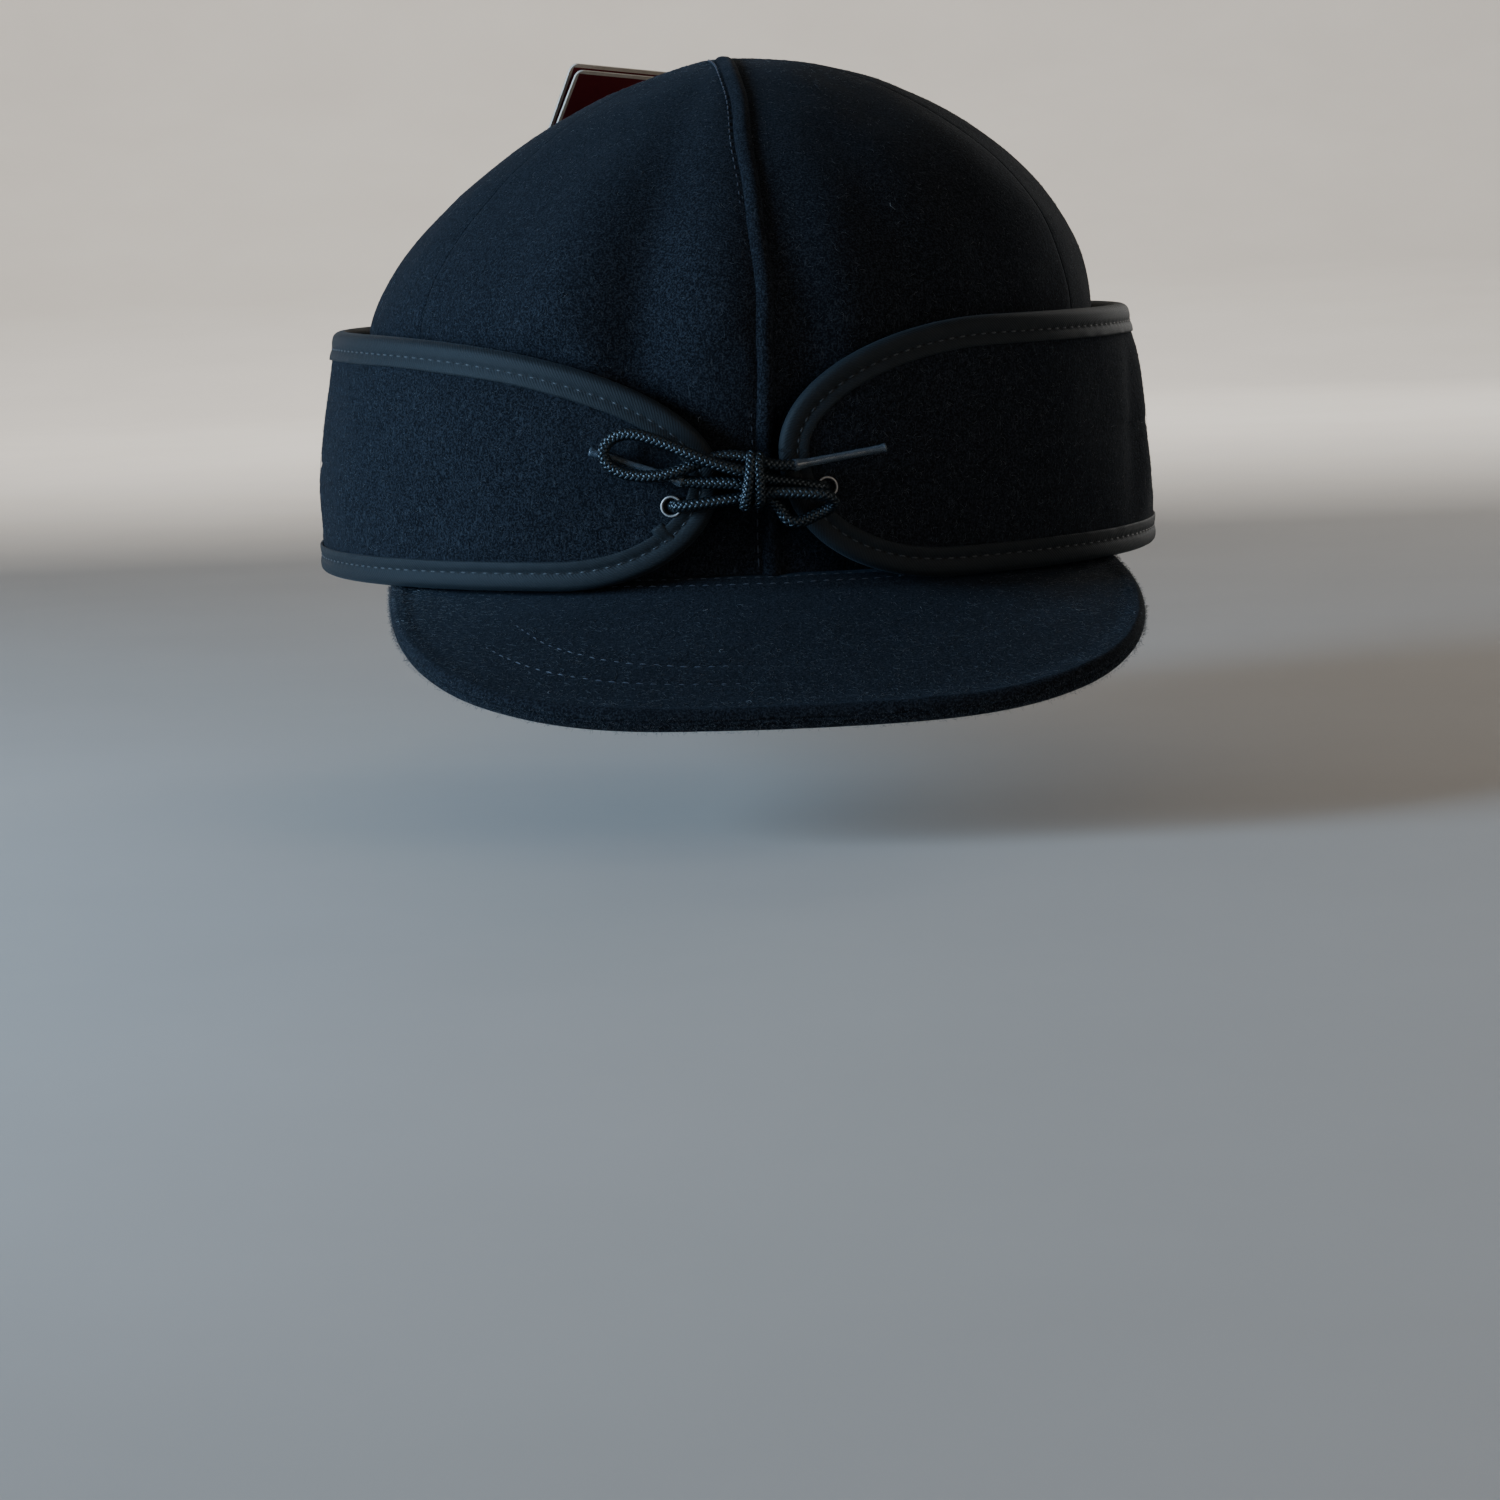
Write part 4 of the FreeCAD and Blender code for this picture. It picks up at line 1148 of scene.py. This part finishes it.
def braid_parts(points, diameter=LACE_D):
    """A round braid of eight flat strands over a core, four turning each way and crossing over and under."""
    line, length = even_steps(points, 0.2)
    across, up = frames_along(line)
    at = np.linspace(0, length, len(line))
    radius = diameter / 2
    parts = [tube_parts(line[::5], radius * 0.66, 8)]
    for strand in range(BRAID_STRANDS):
        way = 1 if strand % 2 else -1
        phase = 2 * math.pi * (strand // 2) / (BRAID_STRANDS // 2)
        angle = phase + way * 2 * math.pi * at / BRAID_PITCH
        weave = np.cos(BRAID_STRANDS / 2 * 2 * math.pi * at / BRAID_PITCH + (0 if way > 0 else math.pi))
        reach = radius * (0.80 + 0.11 * weave)
        normal = np.cos(angle)[:, None] * across + np.sin(angle)[:, None] * up
        path = line + normal * reach[:, None]
        parts.append(tube_parts(path, radius * 0.35, 8, 0.56, normal))
    return parts


def make_laces(cord, film):
    """Each cord from its eyelet, through the knot and its loop, to its aglet."""
    for name, route in LACE_ROUTES.items():
        line = spline_points("lace_line_" + name, route)
        lace = joined("lace_cord_" + name, braid_parts(line), cord)
        stand_in(lace, ["lace_" + name])
        sleeve = make_aglet(name, Vector(route[-1]), Vector(AGLET_TIPS[name]), film, cord)


def lathe_parts(start, tip, profile, sides=24):
    """A turned shape along a line: profile is (share of the way, radius) points."""
    start, tip = np.array(start, float), np.array(tip, float)
    way = unit(tip - start)
    side = unit(np.cross(way, [0.2, 0.3, 0.93]))
    other = np.cross(way, side)
    return loft_parts([ring(start + (tip - start) * share, r, side, other, sides) for share, r in profile])


def make_aglet(name, start, tip, film, cord):
    """Clear film shrunk over the lace's end, with the squeezed dark cord inside it."""
    start = start + (start - tip).normalized() * 0.6
    outer = [(0.0, 1.30), (0.02, 1.42), (0.05, 1.38), (0.10, 1.12), (0.16, 0.98), (0.5, 0.90), (0.8, 0.86),
             (0.93, 0.90), (0.975, 1.04), (1.0, 1.12)]
    inner = [(0.998, 0.94), (0.96, 0.74), (0.90, 0.66), (0.5, 0.66), (0.2, 0.70)]
    sleeve = joined("aglet_film_" + name, [lathe_parts(start, tip, outer + inner)], film)
    inside = [(0.0, 0.9), (0.1, 0.78), (0.18, 0.50), (0.5, 0.36), (0.62, 0.30), (0.66, 0.1)]
    cord_end = joined("aglet_core_" + name, [lathe_parts(start, tip, inside, 14)], cord)
    stand_in(sleeve, ["aglet_" + name])
    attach(cord_end, "crown")
    return [sleeve, cord_end]


def make_knot(cord):
    """The binding turns of the bow: one strand twice round the others, its ends tucked in behind."""
    angles = np.linspace(math.radians(-150), math.radians(540), 90)
    share = np.linspace(0, 1, 90)
    x = KNOT_FIRST_X + KNOT_RUN * share + 0.35 * np.sin(angles * 1.5)
    squeeze = 1.0 - 0.10 * share
    y = KNOT_Y - KNOT_HALF_DEPTH * np.cos(angles) * squeeze - 0.4 * share
    z = KNOT_Z + KNOT_HALF_HEIGHT * np.sin(angles) * squeeze
    knot = joined("bow_knot_turns", braid_parts(np.stack([x, y, z], 1), KNOT_LACE_D), cord)
    stand_in(knot, ["bow_knot"])


def eyelet_frame(name, depth=0.0):
    """An eyelet's place, that far inside the band's face, the way along the band and the way out of it."""
    x, z = EYELETS[name]
    turn = math.degrees(math.asin(x / BAND_HALF_WIDTH))
    along = unit(band_point(turn + 0.5, z) - band_point(turn - 0.5, z))
    return band_point(turn, z, depth), along, unit(np.array([along[1], -along[0], 0.0]))


# (height above the band's face, radius) points round the eyelet's section
EYELET_PROFILE = ((-2.65, 1.84), (-2.65, 1.95), (0.30, 1.98), (0.37, 2.24), (0.49, 2.38), (0.67, 2.42),
                  (0.85, 2.36), (0.95, 2.22), (0.97, 2.10), (0.89, 1.99), (0.71, 1.91), (0.45, 1.86))


def make_eyelet(name, metal):
    """A rolled flange round a throat through the band."""
    here, _, out = eyelet_frame(name)
    side = unit(np.cross(out, [0, 0, 1.0]))
    up = np.cross(out, side)
    loops = [ring(here + out * h, r, side, up, 56) for h, r in EYELET_PROFILE]
    stand_in(loft("eyelet_ring_" + name, loops, metal, closed=True), ["eyelet_" + name])


# ---------------------------------------------------------------- hang tag

TAG_SIZE, TAG_CORNER, TAG_BORDER = (42.0, 71.0), 2.0, 0.8
TAG_LEAN, TAG_ROLL = 33.0, 6.0
TAG_ABOVE_HINGE = 1.2
# (name, distance from the hinge's plane, how far the leaf bends away at its top)
TAG_LEAVES = (("front", -0.62, -1.2), ("back", 0.02, 1.4))
# (level, inward) of each ring round a leaf, through its thickness
LEAF_RINGS = ((0.12, 0.12), (0.0, 0.0), (0.58, 0.0), (0.46, 0.12))


def tag_axes():
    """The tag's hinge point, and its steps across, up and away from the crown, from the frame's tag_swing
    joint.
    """
    swing = next(j for j in frame["joints"] if j["name"] == "tag_swing")
    centre = np.array(swing["pos_m"]) / MM
    level = unit(np.array(swing["axis"]))
    outward = np.cross([0, 0, 1.0], level) * -1
    lean, roll = math.radians(TAG_LEAN), math.radians(TAG_ROLL)
    rising = np.array([0, 0, 1.0]) * math.cos(lean) - outward * math.sin(lean)
    across = level * math.cos(roll) + rising * math.sin(roll)
    up = rising * math.cos(roll) - level * math.sin(roll)
    return centre, across, up, np.cross(across, up)


def make_tag(card):
    centre, across, up, out = tag_axes()
    width, height = TAG_SIZE
    outline = rounded_rectangle(width, height, TAG_CORNER, 7)
    for name, near, fan in TAG_LEAVES:
        loops = []
        for level, inward_by in LEAF_RINGS:
            loop = []
            for x, y in outline:
                x, y = x * (1 - 2 * inward_by / width), y * (1 - 2 * inward_by / height)
                lift = fan * ((y + height / 2) / height) ** 2 + 0.5 * (x / width) ** 2
                from_hinge = y + height / 2 + TAG_ABOVE_HINGE
                loop.append(centre + across * x + up * from_hinge + out * (near + level + lift))
            loops.append(loop)
        verts, faces = loft_parts(loops)
        uvs = outline * len(loops) + [(0.0, 0.0)] * 2
        leaf = finish_mesh("tag_card_" + name, verts, faces, card, uvs, smooth=False)
        stand_in(leaf, ["tag_" + name + "_leaf"], "tag")


def rounded_rectangle(width, height, radius, steps):
    points = []
    for cx, cy, first in ((1, 1, 0), (-1, 1, 90), (-1, -1, 180), (1, -1, 270)):
        for angle in np.radians(first + np.linspace(0, 90, steps)):
            points.append((cx * (width / 2 - radius) + radius * math.cos(angle),
                           cy * (height / 2 - radius) + radius * math.sin(angle)))
    return points


# ---------------------------------------------------------------- inside the crown

LINING, LAYER_GAP = 0.8, 0.3
SWEATBAND_HEIGHT, SWEATBAND_THICK = 32.0, 1.2
SWEATBAND_ROW, SWEATBAND_PUFF, SWEATBAND_FILL = 26.0, 0.9, 0.3
SWEATBAND_OUTER = WOOL + LINING + 2 * LAYER_GAP
SWEATBAND_INNER = SWEATBAND_OUTER + SWEATBAND_THICK
LABEL_TURNS, LABEL_HEIGHTS, LABEL_THICK = (171.0, 189.0), (6.0, 26.0), 0.4
LABEL_DEPTH = SWEATBAND_INNER + 0.95


def lining_depth(relief):
    """How far inside the plain crown the lining's outer face is, clear of the wool's folds."""
    return np.maximum(WOOL, THINNEST_WOOL - relief) + LAYER_GAP


def make_lining(satin):
    """Six gores, slack between their seams, each seam turned in as a narrow ridge."""
    rises = np.linspace(0.0, 1.0, 64)
    for i, name in enumerate(PANELS):
        loops = []
        for share in np.linspace(0, 1, 42):
            turn = PANEL_TURN * i + 0.1 + (PANEL_TURN - 0.2) * share
            relief = crown_relief(np.full(len(rises), turn), crown_point(turn, rises))
            depth = lining_depth(relief)
            plain = crown_point(turn, rises, depth)
            radius = np.hypot(plain[:, 0], plain[:, 1])
            from_seam = min(share, 1 - share) * PANEL_TURN
            free = np.clip((plain[:, 2] - SWEATBAND_HEIGHT) / 14.0, 0, 1) * np.clip(radius / 30.0, 0, 1)
            slack = 1.1 * math.sin(math.pi * share) ** 0.8 + 0.8 * bump_noise(plain, 16.0, 20.0 + i)
            pulls = 0.5 * np.sin(plain[:, 2] * 0.42 + 3 * share) * bell(from_seam, 9.0)
            seam = 0.9 * bell(from_seam * math.radians(1) * radius, 1.1)
            sag = np.maximum(slack + pulls, 0.0) * free + seam * np.clip(radius / 12.0, 0, 1)
            inner = crown_point(turn, rises[::-1], (depth + sag)[::-1] + LINING)
            loops.append(np.vstack([plain, inner]))
        gore = loft("lining_" + name, loops, satin)
        stand_in(gore, ["lining_panel_" + name])


def sweatband_profile():
    """(height, depth inside the plain wall) points round the band: flat against the crown, padded inside."""
    line = [(z, SWEATBAND_OUTER) for z in np.linspace(SWEATBAND_HEIGHT - 0.8, 1.2, 12)]
    line += [(0.5, SWEATBAND_OUTER + 0.4), (0.4, SWEATBAND_INNER)]
    for z in np.linspace(1.6, SWEATBAND_HEIGHT - 1.4, 26):
        puff = SWEATBAND_PUFF * math.sin(math.pi * z / SWEATBAND_ROW) if z < SWEATBAND_ROW else 0.0
        line.append((z, SWEATBAND_INNER + puff - 0.5 * bell(z - SWEATBAND_ROW, 0.9)))
    line += [(SWEATBAND_HEIGHT - 0.3, SWEATBAND_OUTER + 0.9), (SWEATBAND_HEIGHT, SWEATBAND_OUTER + 0.5)]
    return np.array(line)


def make_sweatband(terry, thread):
    """A padded band round the opening, its top edge sewn down with one row."""
    z, plain_depth = sweatband_profile().T
    rise = wall_rise(z)
    loops = []
    for turn in np.linspace(180.3, 539.7, 260):
        wall = crown_point(turn, rise)
        give = 0.25 * bump_noise(wall, 12.0, 31.0) * (plain_depth > plain_depth.min() + 0.8)
        loops.append(crown_point(turn, rise, plain_depth + give))
    band = loft("sweatband_padding", loops, terry)
    stand_in(band, ["sweatband"])
    sink = np.array([-0.9, -0.5, -0.3, -0.3, -0.5, -0.9])
    stitches = []
    for turn in np.arange(181.0, 539.0, 2.1):
        path = crown_point(np.linspace(turn, turn + 1.5, 6), wall_rise(SWEATBAND_ROW), SWEATBAND_INNER + sink)
        stitches.append(tube_parts(path, 0.17, 6))
    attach(joined("sweatband_stitching", stitches, thread), "crown")


def make_label(woven, thread):
    """A blank woven label, sewn on at both ends and a little bowed between them."""
    first, last = LABEL_TURNS
    bottom, top = LABEL_HEIGHTS
    z = np.linspace(bottom, top, 14)
    rise = wall_rise(z)
    loops = []
    for share in np.linspace(0, 1, 30):
        bow = 0.4 * math.sin(math.pi * share) + 0.12 * np.sin(z * 0.9 + 5 * share)
        turn = first + (last - first) * share
        near = crown_point(turn, rise, LABEL_DEPTH + 0.05 + bow)
        far = crown_point(turn, rise[::-1], (LABEL_DEPTH + LABEL_THICK + bow)[::-1])
        loops.append(np.vstack([near, far]))
    stand_in(loft("blank_label", loops, woven), ["size_label"])
    lift = np.array([-0.3, 0.1, 0.16, 0.1, -0.3])
    stitches = []
    for turn in (first + 0.8, last - 0.8):
        for start in np.arange(bottom + 0.8, top - 1.6, 2.0):
            at = wall_rise(np.linspace(start, start + 1.3, 5))
            stitches.append(tube_parts(crown_point(turn, at, LABEL_DEPTH + LABEL_THICK + lift), 0.12, 6))
    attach(joined("label_stitching", stitches, thread), "crown")


def make_lace_stops(cord):
    """An overhand knot behind each eyelet, pressed flat by the crown."""
    t = np.linspace(0.12, 2 * math.pi * 0.94, 120)
    across = (np.sin(t) + 2 * np.sin(2 * t)) * 0.72
    up = (np.cos(t) - 2 * np.cos(2 * t)) * 0.66
    deep = np.sin(3 * t) * 0.42
    for name in EYELETS:
        centre, along, out = eyelet_frame(name, BAND_WOOL + BAND_LINING + 2.0)
        path = centre + np.outer(across, along) + np.outer(up, [0, 0, 1.0]) + np.outer(deep, out)
        knot = joined("lace_stop_knot_" + name, braid_parts(path, STOP_LACE_D), cord)
        stand_in(knot, ["lace_stop_" + name])


# ---------------------------------------------------------------- the rest of the frame

def paint(names, material):
    for name in names:
        mesh = frame["nodes"][name].data
        mesh.materials.clear()
        mesh.materials.append(material)
        mesh.polygons.foreach_set("use_smooth", [True] * len(mesh.polygons))


# The floor's section, flat in the middle and rising all round: (radius, height) in metres
FLOOR_SECTION = ((0.5, 0.0), (1.2, 0.0), (2.2, 0.0), (3.0, 0.08), (3.5, 0.3), (3.8, 0.7), (3.95, 1.3),
                 (4.0, 2.2), (4.0, 3.2))
AMBIENT_COLOUR, AMBIENT_STRENGTH = (1.0, 0.90, 0.80, 1.0), 0.12
# name, place, what it points at, size, power, colour
STUDIO_LIGHTS = (
    ("key", (-0.93, -0.29, 0.25), (0.0, 0.0, 0.04), 0.45, 16.0, (0.46, 0.70, 1.0)),
    ("backdrop", (0.0, 1.3, 1.6), (0.0, 4.0, 0.6), 1.6, 90.0, (1.0, 0.98, 0.95)),
    ("rear", (1.2, 1.5, 0.5), (0.0, 0.0, 0.03), 0.9, 8.0, (1.0, 0.98, 0.95)),
    ("front", (1.1, -1.3, 0.5), (0.0, 0.0, 0.03), 1.0, 4.6, (1.0, 0.90, 0.80)),
)
FLOOR_Z = -49.0
CAMERA_TURN, CAMERA_RISE, CAMERA_ROLL = -4.3, 4.7, 2.1
CAMERA_DISTANCE, CAMERA_LENS = 1.0, 97.4
AIM_RIGHT, AIM_DOWN = 0.0027, 0.0456


def studio():
    """A pale bowl-shaped floor, a large soft key from the left, and weak lights for the other sides."""
    angles = np.linspace(0, 2 * math.pi, 96, endpoint=False)
    verts = [(0, 0, 0)]
    for r, h in FLOOR_SECTION:
        verts += [(r * math.cos(a), r * math.sin(a), h) for a in angles]
    verts = np.array(verts) / MM + [0, 0, FLOOR_Z]
    count = len(angles)
    faces = [(0, 1 + j, 1 + (j + 1) % count) for j in range(count)]
    faces += [tuple(reversed(f)) for f in grid_faces(len(FLOOR_SECTION), count, first=1)]
    pale = plain_material("studio_paper", (0.52, 0.49, 0.45), (0.56, 0.53, 0.49), 0.85, 8.0, 0.0002)
    floor = finish_mesh("studio_floor", verts, faces, pale)
    world = bpy.data.worlds.new("studio")
    world.use_nodes = True
    background = world.node_tree.nodes["Background"].inputs
    background["Color"].default_value = AMBIENT_COLOUR
    background["Strength"].default_value = AMBIENT_STRENGTH
    bpy.context.scene.world = world
    for name, place, aim, size, power, colour in STUDIO_LIGHTS:
        data = bpy.data.lights.new(name, "AREA")
        data.shape, data.size, data.energy, data.color = "DISK", size, power, colour
        light = bpy.data.objects.new(name, data)
        light.location = place
        light.rotation_euler = (Vector(aim) - Vector(place)).to_track_quat("-Z", "Y").to_euler()
        bpy.context.scene.collection.objects.link(light)


def camera():
    """In front and a little to the left, just above the visor, with the head a little rolled."""
    turn, rise, roll = (math.radians(v) for v in (CAMERA_TURN, CAMERA_RISE, CAMERA_ROLL))
    back = Vector((math.sin(turn) * math.cos(rise), -math.cos(turn) * math.cos(rise), math.sin(rise)))
    level = Vector((math.cos(turn), math.sin(turn), 0))
    upright = back.cross(level)
    right = level * math.cos(roll) - upright * math.sin(roll)
    up = level * math.sin(roll) + upright * math.cos(roll)
    place = back * CAMERA_DISTANCE
    aim = right * AIM_RIGHT - up * AIM_DOWN
    z = (place - aim).normalized()
    x = up.cross(z).normalized()
    y = z.cross(x)
    data = bpy.data.cameras.new("camera")
    data.lens, data.clip_start, data.clip_end = CAMERA_LENS, 0.01, 50.0
    seen_from = bpy.data.objects.new("camera", data)
    seen_from.matrix_world = Matrix((x, y, z)).transposed().to_4x4()
    seen_from.location = place
    bpy.context.scene.collection.objects.link(seen_from)
    bpy.context.scene.camera = seen_from


def main():
    wool = wool_material()
    tape = tape_material()
    dark_thread = thread_material("dark_thread", (0.009, 0.013, 0.017), (0.030, 0.040, 0.050))
    blue_thread = thread_material("blue_thread", (0.012, 0.018, 0.032), (0.034, 0.050, 0.082))
    cord = lace_material()
    metal = nickel_material()
    film = film_material()
    card = card_material()
    satin = satin_material()
    knit = knit_material("ear_knit", (0.004, 0.005, 0.008), (0.014, 0.017, 0.024))
    terry = knit_material("sweatband_terry", (0.006, 0.006, 0.008), (0.020, 0.021, 0.025), 900.0)
    camera()
    make_laces(cord, film)
    make_knot(cord)
    for name in EYELETS:
        make_eyelet(name, metal)
    make_crown(wool)
    make_welt(wool, blue_thread)
    make_visor(wool, blue_thread)
    make_band(wool, knit)
    make_binding(tape, dark_thread)
    make_seam_line(blue_thread)
    make_gusset(knit)
    make_fuzz(thread_material("nap_fibre", (0.010, 0.015, 0.022), (0.045, 0.064, 0.086), 0.8),
              thread_material("lint", (0.16, 0.19, 0.22), (0.34, 0.38, 0.42), 0.8))
    make_tag(card)
    make_lining(satin)
    make_sweatband(terry, dark_thread)
    make_label(knit_material("label_weave", (0.30, 0.29, 0.26), (0.42, 0.40, 0.36), 1500.0), dark_thread)
    make_lace_stops(cord)
    paint(["visor_board"], plain_material("board", (0.50, 0.49, 0.46), (0.58, 0.57, 0.54), 0.6))
    paint(["eyelet_washer_left", "eyelet_washer_right"], metal)
    paint(["tag_loop"], plain_material("nylon_loop", (0.012, 0.012, 0.012), (0.020, 0.020, 0.020), 0.4))
    studio()


main()
